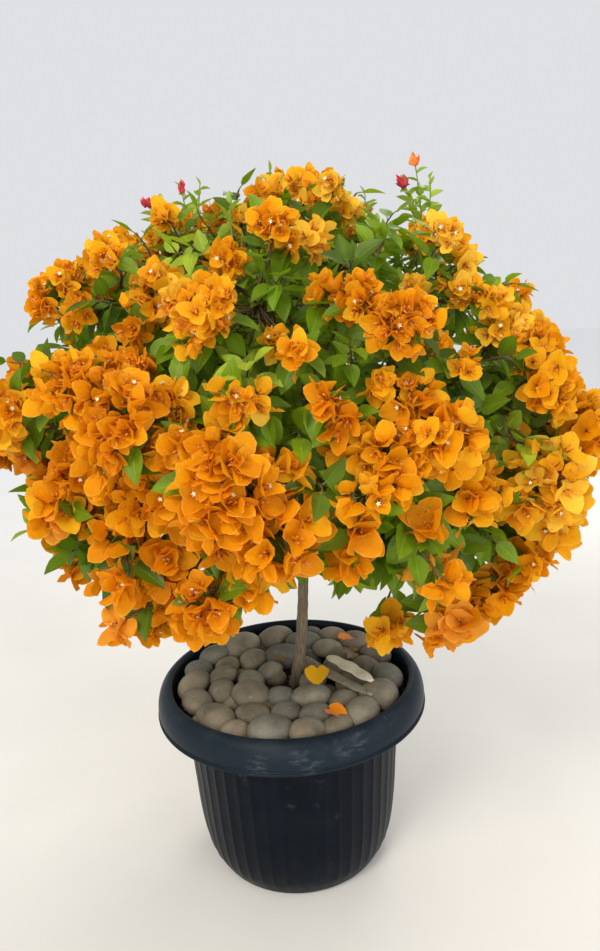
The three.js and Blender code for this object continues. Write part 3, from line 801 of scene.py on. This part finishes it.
# sprays: where the blossom and the leafy shoots stand. Every mass has two heads of blossom, as wide as its
# pair in heads or about headRadius, and a width of 0 makes that one a leafy shoot. Each row of front is the
# azimuth, reach, height and radius of one more head that shows in the picture, and each row of leafy those
# of a leafy shoot there. The rest is filled by chance where nothing stands yet, but for stemView: the
# middle, half width and top of the gap in front that shows the stem
sprays = {"headRadius": 37, "seenAngle": 75, "fill": 2600, "backFlowering": 0.42, "frontFlowering": 0.07,
          "leafyRadius": (26, 36), "backRadius": (17, 42), "frontRadius": (10, 16), "plainRadius": 30.0,
          "blossomDepth": (0.8, 0.95), "leafyDepth": (0.72, 0.94), "lowest": 395, "stemView": (14, 62, 510),
          "apart": 0.8, "inner": 90, "innerDepth": (0.3, 0.66), "innerLowest": 430, "innerRadius": 40.0,
          "reachLimit": 0.93,
          "heads": {"top_1": (0, 16), "top_2": (19, 0), "top_3": (36, 0), "upper_1": (16, 19),
                    "upper_2": (30, 22), "upper_3": (22, 0), "upper_4": (0, 19), "upper_5": (36, 0),
                    "middle_1": (35, 28), "middle_2": (39, 39), "middle_3": (28, 35), "middle_4": (39, 39),
                    "middle_5": (37, 39), "middle_8": (37, 32), "lower_1": (28, 17), "lower_2": (39, 28),
                    "lower_3": (17, 20), "lower_4": (24, 39), "lower_7": (0, 37), "hanging_1": (17, 32),
                    "hanging_2": (28, 28)},
          "front": [
              (-27, 334, 601, 30), (62, 359, 544, 36), (17, 340, 642, 29), (56, 318, 744, 33),
              (-32, 286, 488, 33), (-19, 335, 652, 29), (-38, 336, 628, 31), (-27, 263, 797, 29),
              (45, 286, 785, 21), (23, 333, 691, 24), (35, 340, 586, 26), (-6, 313, 530, 30),
              (66, 375, 613, 35), (31, 221, 398, 25), (45, 78, 900, 35), (56, 313, 471, 25),
              (-28, 315, 722, 30), (32, 340, 714, 16), (11, 275, 790, 19), (-42, 249, 422, 25),
              (-3, 339, 694, 15), (12, 342, 566, 16), (-2, 337, 628, 28), (-16, 335, 705, 16),
              (45, 271, 431, 31), (-12, 328, 571, 25), (-71, 254, 827, 19), (10, 345, 679, 12),
              (-41, 330, 581, 27), (28, 312, 516, 21), (-68, 360, 651, 36), (48, 336, 558, 23),
              (18, 352, 613, 16), (-8, 344, 675, 12), (-19, 335, 612, 29), (49, 272, 816, 12),
              (-71, 209, 843, 30), (43, 290, 410, 28), (56, 340, 470, 28), (-24, 318, 537, 26),
              (-31, 330, 566, 19), (-17, 338, 674, 19), (-10, 244, 828, 19), (11, 224, 843, 19),
              (-46, 285, 788, 18), (11, 320, 534, 19), (61, 368, 526, 26), (-47, 250, 839, 26),
              (-52, 312, 799, 20), (-50, 288, 816, 20), (17, 307, 782, 20), (24, 325, 755, 18),
              (-11, 317, 769, 20), (-5, 123, 903, 14), (29, 151, 907, 14), (52, 248, 841, 17),
              (4, 246, 842, 11), (-17, 301, 790, 16), (48, 314, 773, 18), (59, 335, 738, 18),
              (3, 334, 740, 9), (7, 351, 698, 9), (-6, 350, 702, 9)],
          "leafy": [(24, 293, 516, 28), (12, 276, 515, 26), (25, 319, 551, 26), (36, 304, 520, 24)]}


def capMiddle(radius):  # how far the middle of a head's blossom stands out from the head's own middle
    return 0.35 * max(radius * 1.14 - 6, 0)


def headsOf(mass):  # the two sprays that the mass's own stem ends in, as rows of planSprays
    rows, seed, size, facing = [], mass["seed"], mass["size"], mass["facing"]
    stem = evenPoints(mass["root"], mass["elbow"], mass["centre"],
                      mass["entry"] + (1 - mass["entry"]) * np.linspace(0, 1, 3 if mass["bough"] else 5))[0]
    for h in range(2):
        turn = mass["turn"] + math.pi * h + 0.4 * (chance(seed + h + 5) - 0.5)
        away, outward = leaning(facing, 1.2, turn), leaning(facing, 0.5, turn)
        tip = mass["centre"] + away * size * 0.56 + facing * size * (0.05 + 0.3 * chance(seed + h + 9))
        root = stem[-2] + (stem[-1] - stem[-2]) * (0.5 + 0.42 * h)
        usual = sprays["headRadius"] * (0.88 + 0.28 * chance(seed + h + 61))
        radius = float(sprays["heads"].get(mass["name"], (usual, usual))[h])
        rows.append((tip + outward * (18 - capMiddle(radius)), outward, radius or sprays["plainRadius"], root,
                     tip - outward * size * 0.3, radius > 0))
    return rows


def sprayAt(centre, radius, flowering):  # a spray that leaves the limb of its space a little way back
    outward = unit(unit((centre - middleOfCrown) * (1, 1, 0.8)) + 0.3 * spread(-1, 1, 3))
    line = limbLines[spaceOf(centre)]
    centre = centre - outward * (capMiddle(radius) if flowering else 0)
    root = line[max(int(np.linalg.norm(line - centre, axis=1).argmin()) - 4, 14)]
    return centre, outward, radius, root, centre - outward * 0.45 * np.linalg.norm(centre - root), flowering


def planSprays():
    rows = []  # centre, outward, radius, root, elbow, flowering
    for mass in masses:
        rows += headsOf(mass)
    rows += [sprayAt(crownPlace(*row[:3]), row[3], True) for row in sprays["front"]]
    rise = 1 - 1.55 * (np.arange(sprays["fill"]) + 0.5) / sprays["fill"]
    ways = polar(np.sqrt(1 - rise ** 2), np.arange(sprays["fill"]) * goldenAngle, rise)
    middle, half, top = sprays["stemView"]
    for way in ways[dice.permutation(sprays["fill"])]:
        seen = abs(math.degrees(math.atan2(way[0], -way[1]))) < sprays["seenAngle"]
        blooms = bool(spread(0, 1) < sprays["frontFlowering" if seen else "backFlowering"])
        radius = spread(*sprays[("frontRadius" if seen else "backRadius") if blooms else "leafyRadius"])
        depth = spread(*sprays["blossomDepth" if blooms else "leafyDepth"])
        centre = middleOfCrown + way * (crownRadii * depth - radius * 0.5)
        if centre[2] < sprays["lowest"] or (seen and centre[2] < top and abs(centre[0] - middle) < half):
            continue  # nothing hangs too low, or before the open stem
        apart = [np.linalg.norm(centre - row[0]) - sprays["apart"] * (radius + row[2]) for row in rows]
        if min(apart) > 0:
            rows.append(sprayAt(centre, radius, blooms))
    rows += [sprayAt(crownPlace(*row[:3]), row[3], False) for row in sprays["leafy"]]
    inner = []
    for _ in range(sprays["inner"]):  # shoots inside the crown, all leaves
        way = unit(strays() * (1, 1, 0.8))
        inner.append(middleOfCrown + way * crownRadii * spread(*sprays["innerDepth"]))
    inner = [centre for centre in inner if centre[2] > sprays["innerLowest"]]
    return rows + [sprayAt(centre, sprays["innerRadius"], False) for centre in inner], len(inner)


sprayRows, innerCount = planSprays()
centres, outwards, sprayRadii, twigRoots, twigElbows, flowering = map(np.array, zip(*sprayRows))
innerSpray = np.arange(len(centres)) >= len(centres) - innerCount
twigTips = centres - outwards * np.where(flowering, 0.42, -0.3)[:, None] * sprayRadii[:, None]
twigTips = middleOfCrown + (twigTips - middleOfCrown) * np.minimum(
    1, sprays["reachLimit"] / np.linalg.norm((twigTips - middleOfCrown) / crownRadii, axis=1))[:, None]
crownShares = (centres - middleOfCrown) / crownRadii  # -1 to 1 from side to side of the crown
print("sprays planned:", int(flowering.sum()), "of blossom and", int((~flowering).sum()), "of leaves")

twigs = {"colour": (96, 76, 54), "dark": (56, 43, 31), "rows": 10, "sides": 5, "radii": (2.1, 1.6),
         "sway": 3.0}


def buildTwigs():
    shares, count = np.linspace(0, 1, twigs["rows"]), len(centres)
    paths = curvePoint(twigRoots[:, None], twigElbows[:, None], twigTips[:, None], shares)
    waves = np.stack([np.sin(shares * math.pi), np.sin(shares * 2 * math.pi)], -1)
    paths = paths + twigs["sway"] * np.einsum("rw,nwk->nrk", waves, spread(-1, 1, (count, 2, 3)))
    thick = np.where(np.arange(count) < 2 * len(masses), *twigs["radii"])[:, None]
    radii = thick * (1 - 0.42 * shares) * (1 + 0.1 * np.sin(shares * 50))
    addPiece("brownTwigs", [sweep(paths, radii, twigs["sides"])],
             barkMaterial("twigBark", twigs["colour"], twigs["dark"], 1.8), foliageNodes)


buildTwigs()
print("twigs grown")


# blossom: three papery bracts round each flower's axis, three slender tubes inside them. The tints run
# from deep to pale, and the last one is for faded flowers. mood says how much paler they get to the right
# and to the top, and from where
blossom = {"length": (21, 30), "roundness": 0.94, "tilt": (0.36, 0.86), "curl": (-0.1, 0.85),
           "cup": (-0.15, 0.34), "spacing": 450, "cap": 108, "depth": 15, "smaller": 0.37, "long": 0.42,
           "flat": 0.22, "stray": 4, "strayAxis": 0.48, "youngSize": (0.8, 0.26), "grow": 1.14,
           "tubeLength": 9, "tubeRadii": (0.8, 1.15), "tubeColour": (236, 138, 40), "starShare": 0.1,
           "starRadii": (3.0, 1.3), "starColour": (250, 240, 196), "stalkRadii": (0.9, 0.7, 0.8),
           "stalkColour": (132, 118, 52), "shift": (8, 0, 0), "room": (10, 5, 5), "stemGap": (200, 322),
           "mood": (0.4, 0.5, -0.1), "moodSteps": (-0.26, 0.12, 0.46), "faded": (0.2, 0.04),
           "fadedBelow": 560,
           "shape": {"shares": (0, 0.14, 0.4, 0.68, 0.9, 1), "breadths": (0.5, 0.92, 1.0, 0.8, 0.4),
                     "columns": 4, "bend": 0.9, "crease": 0.1, "waves": 1.5, "ruffle": 0.07, "lobes": 0.08},
           "glow": (4, 14, 14), "shade": (-14, -28, -14), "edge": (255, 208, 96),
           "tints": {"bractsDeep": (231, 147, 3), "bractsOrange": (239, 162, 6),
                     "bractsGolden": (245, 182, 24), "bractsAmber": (250, 200, 58),
                     "bractsApricot": (242, 162, 46)}}


def bractMaterial(name, colour):
    material, tree, shader, spot = newMaterial(name, 0.62, 0.14)
    across, along, fromMiddle = bladeAxes(tree)
    veinPlace = addNode(tree, "CombineXYZ", {
        "X": times(tree, across, 9.0),
        "Y": sums(tree, "SUBTRACT", times(tree, along, 9.0), times(tree, fromMiddle, 5.0))})
    veins = addNode(tree, "TexVoronoi", {"Vector": veinPlace.outputs[0], "Scale": 1.0},
                    feature="DISTANCE_TO_EDGE").outputs["Distance"]
    veinLine = stretch(tree, veins, 0.0, 0.09, 1.0, 0.0)
    rib = stretch(tree, fromMiddle, 0.0, 0.07, 1.0, 0.0)
    base = ramp(tree, noise(tree, spot, 34, 3.0, 0.55), (0.28, toned(colour, 0.93)), (0.5, paint(*colour)),
                (0.74, shifted(colour, blossom["glow"])))
    # a darker tone, for the veins and for the painted shade in the throat
    deep = shifted(colour, blossom["shade"])
    base = blendColours(tree, times(tree, sums(tree, "MAXIMUM", veinLine, rib), 0.24), base, deep)
    # paler towards the edges and the tip: partly the bract's own paler rim, partly a painted highlight
    pale = stretch(tree, sums(tree, "MAXIMUM", fromMiddle, along), 0.86, 1.0, 0.0, 0.38)
    base = blendColours(tree, pale, base, paint(*blossom["edge"]))
    # painted shade: each bract darkens towards its root, for the shade in the throat of the flower
    base = blendColours(tree, stretch(tree, along, 0.2, 0.0, 0.0, 0.25), base, deep)
    dress(tree, shader, base, sums(tree, "ADD", veinLine, times(tree, rib, 1.5)), 0.0004, 0.45)
    letThrough(tree, shader, 0.36, base)
    return material


def grownShare(height, smaller):  # how large a flower or leaf gets at a height: the upper are the smaller
    return 1 - smaller * np.clip((height - 560) / 200, 0, 1)


def flowerPlaces():
    # flowers stand on a cap of each head at even steps of its axis, turned on by the golden angle; the
    # cap is drawn out to one side and pressed flat
    base, axis, tint, heart = [], [], [], []
    whole = 1 - math.cos(math.radians(blossom["cap"]))
    for index in np.flatnonzero(flowering):
        centre, outward = centres[index], outwards[index]
        bed = max(sprayRadii[index] * blossom["grow"] - blossom["depth"], 3.0)
        room = blossom["spacing"] * grownShare(centre[2], blossom["smaller"]) ** 2
        count = max(int(round(2 * math.pi * (bed + 11) ** 2 * whole / room)), 3)
        rise = 1 - whole * (np.arange(count) + 0.5) / count
        turn = np.arange(count) * goldenAngle + anyTurn(1)
        way = leaning(outward, np.arccos(rise), turn)
        lump = 1 + 0.22 * np.sin(3 * way[:, 0] + index) + 0.16 * np.sin(4 * way[:, 2] + 2.3 * index)
        lift = (spread(0.8, 1.06, count) * np.clip(lump, 0.7, 1.2))[:, None]
        spot = way * bed * lift
        side = unit(np.cross(outward, strays()))
        spot = spot + side * (spot @ side)[:, None] * blossom["long"] \
            - outward * np.maximum(spot @ outward, 0)[:, None] * blossom["flat"]
        base.append(centre + spot + strays(count) * blossom["stray"])
        axis.append(unit(way + strays(count) * blossom["strayAxis"] + up * 0.16))
        heart.append(np.repeat(twigTips[index][None], count, 0))
        toRight, toTop, start = blossom["mood"]
        mood = toTop * crownShares[index][2] + toRight * crownShares[index][0] + start \
            + spread(-0.42, 0.42) + spread(-0.34, 0.34, count)
        fading = chance(index + 900) < blossom["faded"][int(centre[2] >= blossom["fadedBelow"])]
        kind = np.digitize(mood, blossom["moodSteps"])
        tint.append(np.where(fading & (chance(np.arange(count) + index) < 0.6), 4, kind))
    return map(np.concatenate, (base, axis, tint, heart))


def starFlowers(middle, way):  # a small star of five points, square to each way
    points = 10
    reach = np.where(np.arange(points) % 2, blossom["starRadii"][1], blossom["starRadii"][0])
    rim = leaning(way[:, None], 1.25, around(points))
    skin = np.concatenate([middle[:, None], middle[:, None] + rim * reach[:, None]], 1)
    one = np.arange(points)
    faces = [np.stack([np.zeros_like(one), one + 1, (one + 1) % points + 1], -1)]
    places = [np.tile(((0.5, 0.5), (0, 0), (1, 0)), (points, 1, 1)).astype(float)]
    return skin, *repeated(faces, places, len(way), points + 1)


def buildBlossom():
    base, axis, tint, heart = flowerPlaces()
    # one that would stand out of the crown is drawn back towards its middle
    beyond = np.linalg.norm((base + axis * 16 - middleOfCrown - blossom["shift"])
                            / (crownRadii + blossom["room"]), axis=1)
    base = base + (middleOfCrown - base) * np.clip(beyond - 1, 0, 0.3)[:, None]
    reach, height = blossom["stemGap"]
    keep = (beyond < 1.3) & ((np.hypot(base[:, 0], base[:, 1]) > reach) | (base[:, 2] > height))
    base, axis, tint, heart = flatRows(keep, base[:, None], axis[:, None], tint[:, None], heart[:, None])
    count = len(base)
    age = spread(0, 1, count)  # the young ones are smaller and less open
    least, more = blossom["youngSize"]
    size = spread(*blossom["length"], count) * (least + more * age)
    size = size * grownShare(base[:, 2], blossom["smaller"])
    turn = anyTurn(count)[:, None] + np.arange(3) * 2 * math.pi / 3 + spread(-0.2, 0.2, (count, 3))
    closed, opened = blossom["tilt"]
    tilt = closed + (opened - closed) * age[:, None] + spread(-0.25, 0.25, (count, 3))
    spokes = np.repeat(axis[:, None], 3, 1)
    along = leaning(spokes, tilt, turn)
    radial = unit(along - spokes * (along * spokes).sum(-1, keepdims=True))
    face = spokes * np.sin(tilt)[..., None] - radial * np.cos(tilt)[..., None]
    length = size[:, None] * spread(0.9, 1.1, (count, 3))
    curl = spread(*blossom["curl"], (count, 3))
    phase = anyTurn((count, 3))
    cup = spread(*blossom["cup"], (count, 3))
    for index, (name, colour) in enumerate(blossom["tints"].items()):
        roots, ways, faces, lengths, curls, phases, cups = flatRows(
            tint == index, base[:, None] + radial * 1.4, along, face, length, curl, phase, cup)
        bracts = blades(roots, ways, faces, lengths, lengths * blossom["roundness"], curls, blossom["shape"],
                        phases, cups)
        addPiece(name, [bracts], bractMaterial(name, colour), nodes=foliageNodes)
    lean = leaning(spokes, 0.16, turn + 0.5)
    start = base[:, None] + radial * 2.2
    end = start + lean * (blossom["tubeLength"] * spread(0.85, 1.15, (count, 3, 1)))
    paths = np.stack([start, end], 2).reshape(-1, 2, 3)
    addPiece("flowerTubes", [sweep(paths, blossom["tubeRadii"], 3)],
             plainMaterial("tubeRust", blossom["tubeColour"]))
    starry = spread(0, 1, (count, 3)) < blossom["starShare"]
    addPiece("creamStars", [starFlowers(end[starry], lean[starry])],
             plainMaterial("creamPetal", blossom["starColour"], 0.5))
    bow = (heart + base) / 2 + strays(count) * 3
    stalks = curvePoint(heart[:, None], bow[:, None], base[:, None], (0, 0.5, 1))
    addPiece("flowerStalks", [sweep(stalks, blossom["stalkRadii"], 3)],
             plainMaterial("greenStalk", blossom["stalkColour"]))
    print("   flowers:", count)


buildBlossom()
print("blossom opened")


# leaves: along the outer part of every twig, and a collar behind each head
leaves = {"length": (33, 47), "smaller": 0.24, "broad": 0.62, "petiole": 8, "cup": (0.02, 0.34),
          "behindHead": (4, 7), "onShoot": (11, 16), "collarSpacing": 13, "lowest": 300, "past": 6,
          "shape": {"shares": (0, 0.12, 0.32, 0.54, 0.76, 0.91, 1),
                    "breadths": (0.3, 0.78, 1.0, 0.86, 0.5, 0.2), "columns": 4, "bend": 1.3,
                    "crease": 0.22, "waves": 1.3, "ruffle": 0.016, "lobes": 0.0},
          "tints": {"leavesDeep": (80, 106, 18), "leavesGreen": (112, 142, 22),
                    "leavesYoung": (164, 186, 54)},
          "glow": (150, 190, 30), "stalkRadii": (0.9, 0.75, 0.6), "stalkColour": (112, 126, 48)}


def leafMaterial(name, colour):
    material, tree, shader, spot = newMaterial(name, 0.42, 0.32)
    along, fromMiddle = bladeAxes(tree)[1:]
    rib = stretch(tree, fromMiddle, 0.0, 0.09, 1.0, 0.0)
    slant = sums(tree, "SUBTRACT", along, times(tree, fromMiddle, 0.22))
    side = sums(tree, "ABSOLUTE", sums(tree, "SINE", times(tree, slant, 22.0)))
    vein = stretch(tree, side, 0.0, 0.22, 1.0, 0.0)
    lines = sums(tree, "MAXIMUM", rib, times(tree, vein, 0.6))
    base = shades(tree, noise(tree, spot, 24, 4.0, 0.6), colour, (0.28, 0.74), (0.52, 1), (0.76, 1.2))
    base = blendColours(tree, times(tree, lines, 0.42), base, toned(colour, 1.25, 26))
    dress(tree, shader, base, sums(tree, "SUBTRACT", 1.0, lines), 0.0005, 0.5)
    letThrough(tree, shader, 0.4, blendColours(tree, 0.5, base, paint(*leaves["glow"])))
    return material


def leafTint(index):  # 0 deep, 1 green, 2 young: paler towards the top, and inside to show in the shade
    draw, high = chance(index + 1700), crownShares[index][2]
    if innerSpray[index]:
        return 2 if draw > 0.4 else 1
    return 0 if draw < 0.3 - 0.15 * high else (2 if draw > 0.86 - 0.2 * high and not flowering[index] else 1)


def leafPlaces():
    root, way, face, size, tint = [], [], [], [], []
    for index, centre in enumerate(centres):
        count = int(dice.integers(*leaves["behindHead" if flowering[index] else "onShoot"]))
        share = np.linspace(0.3, 0.86 if flowering[index] else 1.0, count)
        twig = twigRoots[index], twigElbows[index], twigTips[index]
        run = curvePoint(*twig, share)
        tangent = unit(curvePoint(*twig, np.minimum(share + 0.03, 1.03)) - run + 1e-6)
        turn = np.arange(count) * goldenAngle + anyTurn(1) + spread(-0.3, 0.3, count)
        tilt = np.where(share > 0.97, 0.3, spread(0.75, 1.25, count))
        direction = unit(leaning(tangent, tilt, turn) - up * spread(0.1, 0.5, count)[:, None])
        if flowering[index]:  # the last leaves make a collar under the head
            radius = sprayRadii[index]
            collar = int(radius / leaves["collarSpacing"])
            angle = around(collar) + anyTurn(1) + spread(-0.4, 0.4, collar)
            out = leaning(outwards[index], spread(1.4, 2.0, collar), angle)
            run = np.vstack([run, centre - outwards[index] * radius * 0.34
                             + out * radius * spread(0.2, 0.62, collar)[:, None]])
            direction = np.vstack([direction, unit(out - up * spread(0.0, 0.35, collar)[:, None])])
            count += collar
        root.append(run)
        way.append(direction)
        face.append(unit(up * spread(0.3, 1.0, count)[:, None] + unit(run - middleOfCrown) * 0.8
                         + strays(count) * 0.35))
        youth = 1.0 if flowering[index] or innerSpray[index] else spread(0.72, 1.0)
        grown = youth * grownShare(centre[2], leaves["smaller"])
        size.append(spread(*leaves["length"], count) * grown)
        tint.append(np.full(count, leafTint(index)))
    return map(np.concatenate, (root, way, face, size, tint))


def buildLeaves():
    root, way, face, size, tint = leafPlaces()
    start = root + way * leaves["petiole"]
    tip = start + way * size[:, None]
    keep = np.linalg.norm((tip - middleOfCrown) / (crownRadii + leaves["past"]), axis=1) < 1.0
    keep = keep & (tip[:, 2] > leaves["lowest"])
    root, way, face, size, tint, start = (field[keep] for field in (root, way, face, size, tint, start))
    count = len(root)
    curl, phase, cup = spread(0.15, 0.8, count), anyTurn(count), spread(*leaves["cup"], count)
    for index, (name, colour) in enumerate(leaves["tints"].items()):
        roots, ways, faces, sizes, curls, phases, cups = (
            field[tint == index] for field in (start, way, face, size, curl, phase, cup))
        part = blades(roots, ways, faces, sizes, sizes * leaves["broad"], curls, leaves["shape"], phases,
                      cups)
        addPiece(name, [part], leafMaterial(name, colour), nodes=foliageNodes)
    paths = np.stack([root, (root + start) / 2 + up * 0.6, start + way * 1.5], 1)
    addPiece("leafStalks", [sweep(paths, leaves["stalkRadii"], 3)],
             plainMaterial("leafStalkGreen", leaves["stalkColour"]))
    print("   leaves:", count)


buildLeaves()
print("leaves out")

# sprigs: pale young shoots that stand out over the crown, some ending in a bud. Each row is the tip of
# one and how it ends: 0 a leaf, 1 a pink bud, 2 an orange one
sprigs = {"leaf": (27, 14), "steps": 7, "broad": 0.56, "bud": 13, "budBlades": 9, "radii": (1.3, 0.7),
          "rows": 9, "rise": 45,
          "tips": [
              (-99, 20, 927, 1), (-76, 20, 933, 0), (-139, 10, 907, 1), (-126, 10, 913, 0),
              (-8, -60, 886, 1), (13, 30, 945, 0), (192, 0, 938, 2), (210, 0, 922, 0), (187, 0, 898, 0),
              (179, 0, 916, 1), (127, -20, 904, 0), (-30, -110, 892, 0), (62, 150, 926, 1),
              (-52, 175, 914, 0), (-150, 120, 892, 0), (148, 140, 902, 1), (205, 95, 878, 0),
              (30, 235, 880, 2), (-205, 60, 868, 0), (250, 20, 850, 0), (-110, 215, 872, 1),
              (120, 230, 872, 0)],
          "stemColour": (126, 140, 58), "leafColour": (158, 184, 70),
          "buds": {"pinkBuds": ((228, 58, 82), 1), "orangeBuds": ((250, 138, 52), 2)},
          "shape": {"shares": (0, 0.16, 0.4, 0.66, 0.88, 1), "breadths": (0.3, 0.8, 1.0, 0.72, 0.3),
                    "columns": 2, "bend": 1.2, "crease": 0.3, "waves": 1.0, "ruffle": 0.01, "lobes": 0.0}}


def sprigRoots(tip):  # the nearest place on a twig or limb that lies well below each tip
    source = np.vstack([twigTips, limbLines[:, 20:].reshape(-1, 3)])
    gap = np.linalg.norm((tip[:, None] - source[None]) * (1, 1, 0.8), axis=-1)
    gap = np.where((tip[:, None, 2] - source[None, :, 2]) < sprigs["rise"], 1e6, gap)
    return source[gap.argmin(1)]


def sprigLeafParts(sprig, count):
    steps = sprigs["steps"]
    share = np.linspace(0.45, 1.0, steps)
    spot, ahead = curvePoint(*sprig, share), curvePoint(*sprig, share + 0.04)
    turn = np.arange(steps) * goldenAngle + anyTurn(count)[:, None]
    way = leaning(unit(ahead - spot), np.where(share > 0.95, 0.35, 0.95), turn)
    size = np.linspace(*sprigs["leaf"], steps) * spread(0.85, 1.15, (count, steps))
    facing = unit(up + 0.5 * strays(count, steps))
    spots, ways, facings, sizes = flatRows(slice(None), spot, way, facing, size)
    total = count * steps
    return blades(spots, ways, facings, sizes, sizes * sprigs["broad"], spread(0.3, 1.3, total),
                  sprigs["shape"], anyTurn(total), spread(0.1, 0.4, total))


def budParts(tip, ahead):  # sheets of three that fold up round each tip
    each, count = sprigs["budBlades"], len(tip)
    base = np.repeat(tip, each, 0) + strays(count * each) * 1.8
    axis = np.repeat(ahead, each, 0)
    turn = np.tile(np.arange(each) * 2 * math.pi / 3, count) + np.repeat(anyTurn(count), each)
    lean = leaning(unit(axis + 0.35 * np.repeat(strays(len(base) // 3), 3, 0)), 0.24, turn)
    length = sprigs["bud"] * spread(0.8, 1.2, len(base))
    return blades(base, lean, unit(axis - lean * 0.9), length, length * 0.62, np.full(len(base), -0.5),
                  sprigs["shape"], anyTurn(len(base)), np.full(len(base), 0.5))


def buildSprigs():
    rows = np.array(sprigs["tips"], float)
    tip, ending, count = rows[:, :3], rows[:, 3].astype(int), len(rows)
    root = sprigRoots(tip)
    elbow = root * 0.35 + tip * 0.65 - up * 0.28 * np.linalg.norm(tip - root, axis=1)[:, None] \
        + unit(tip - middleOfCrown) * 10
    sprig = root[:, None], elbow[:, None], tip[:, None]
    line = curvePoint(*sprig, np.linspace(0, 1, sprigs["rows"]))
    radii = np.linspace(*sprigs["radii"], sprigs["rows"])
    addPiece("sprigStems", [sweep(line, radii, 5)], plainMaterial("sprigGreen", sprigs["stemColour"]))
    addPiece("sprigLeaves", [sprigLeafParts(sprig, count)], leafMaterial("sprigLeaf", sprigs["leafColour"]))
    for name, (colour, kind) in sprigs["buds"].items():
        chosen = ending == kind
        bud = budParts(tip[chosen], unit(tip[chosen] - elbow[chosen]))
        addPiece(name, [bud], plainMaterial(name, colour))


buildSprigs()
print("sprigs up")


# litter on the pebbles: a yellow heart of a bract, two orange ones, a few dry bits, a strip of driftwood
# and a pale chip of bark. Each fallen piece has its finish, rows of a middle, a heading in degrees, a
# length and a width, then its curl, cup and the lift of its root, and a colour with its roughness, grain
# and darkest tone. Wood has its finish, line, half width, thickness, and light and dark colour
litter = {"fallen": {
              "fallenHeart": ("yellowBract", [(37, -44, -94, 33, 34)], 0.1, 0.1, 9,
                              (255, 188, 16), 0.6, 90, 0.96),
              "fallenBracts": ("fallenOrange", [(63, -120, -40, 29, 27), (94, 84, 30, 30, 26)], 0.5, 0.25, 0,
                               (250, 144, 28), 0.6, 90, 0.88),
              "dryBits": ("dryBrown", [(-10, 43, 20, 24, 12), (99, 49, 60, 34, 15), (88, 62, 140, 26, 11),
                                       (-84, 30, 80, 20, 11)], 0.7, 0.3, 0, (164, 128, 84), 0.8, 220, 0.72)},
          "wood": {
              "driftwoodStrip": ("greyWood", ((17, 36), (60, -28), (108, -86)), 8.5, 3.2,
                                 (158, 149, 130), (98, 90, 74)),
              "barkChip": ("paleWood", ((56, 22), (84, -14), (112, -58)), 11, 3.0,
                           (250, 238, 206), (216, 198, 158))},
          "woodGrain": 1.4,
          "shape": {"shares": (0, 0.04, 0.12, 0.25, 0.42, 0.6, 0.78, 0.92, 1),
                    "breadths": (0.8, 0.93, 0.99, 1.0, 0.91, 0.72, 0.44, 0.17), "columns": 16, "bend": 1.0,
                    "crease": 0.05, "waves": 1.2, "ruffle": 0.03, "lobes": 0.2}}


def fallen(rows, curl, cup, rise):
    # lies on the stones from end to end, its root lifted by the rise
    rows = np.array(rows, float)
    angle = np.radians(rows[:, 2])
    ahead = np.stack([np.cos(angle), np.sin(angle), 0 * angle], -1)
    reach = rows[:, 3:4] / 2
    spots = rows[:, None, :2] + ahead[:, None, :2] * reach[:, None] * np.linspace(-1, 1, 5)[:, None]
    rest = stoneTop(spots.reshape(-1, 2)).reshape(len(rows), 5).max(1) + 1.5
    root = np.column_stack([rows[:, :2] - ahead[:, :2] * reach, rest + rise])
    along = unit(ahead * rows[:, 3:4] - up * rise)
    face = np.cross(along, np.cross(up, ahead))
    face = face * np.sign(face[:, 2:])
    return blades(root, along, face, rows[:, 3], rows[:, 4], np.full(len(rows), curl), litter["shape"],
                  anyTurn(len(rows)), np.full(len(rows), cup))


def strip(middle, half, thick):  # a flat splinter of wood that rests along the stones
    line = smoothLine(np.column_stack([np.array(middle, float), np.zeros(3)]), 10)
    line[:, 2] = stoneTop(line).max() + thick * 0.8
    share = np.linspace(0, 1, len(line))
    radii = half * (0.35 + 0.65 * np.sin(np.clip(share * 1.04, 0, 1) * math.pi) ** 0.45) \
        * (1 + 0.12 * np.sin(share * 17))
    points, faces, places = sweep(line[None], radii[None], 16)
    level = line[None, :, None, 2]
    points[..., 2] = level + (points[..., 2] - level) * thick / half
    return points, faces, places


def buildLitter():
    for name, (finish, rows, curl, cup, rise, *look) in litter["fallen"].items():
        addPiece(name, [fallen(rows, curl, cup, rise)], plainMaterial(finish, *look))
    for name, (finish, middle, half, thick, light, dark) in litter["wood"].items():
        addPiece(name, [strip(middle, half, thick)], barkMaterial(finish, light, dark, litter["woodGrain"]))


buildLitter()
print("litter laid")
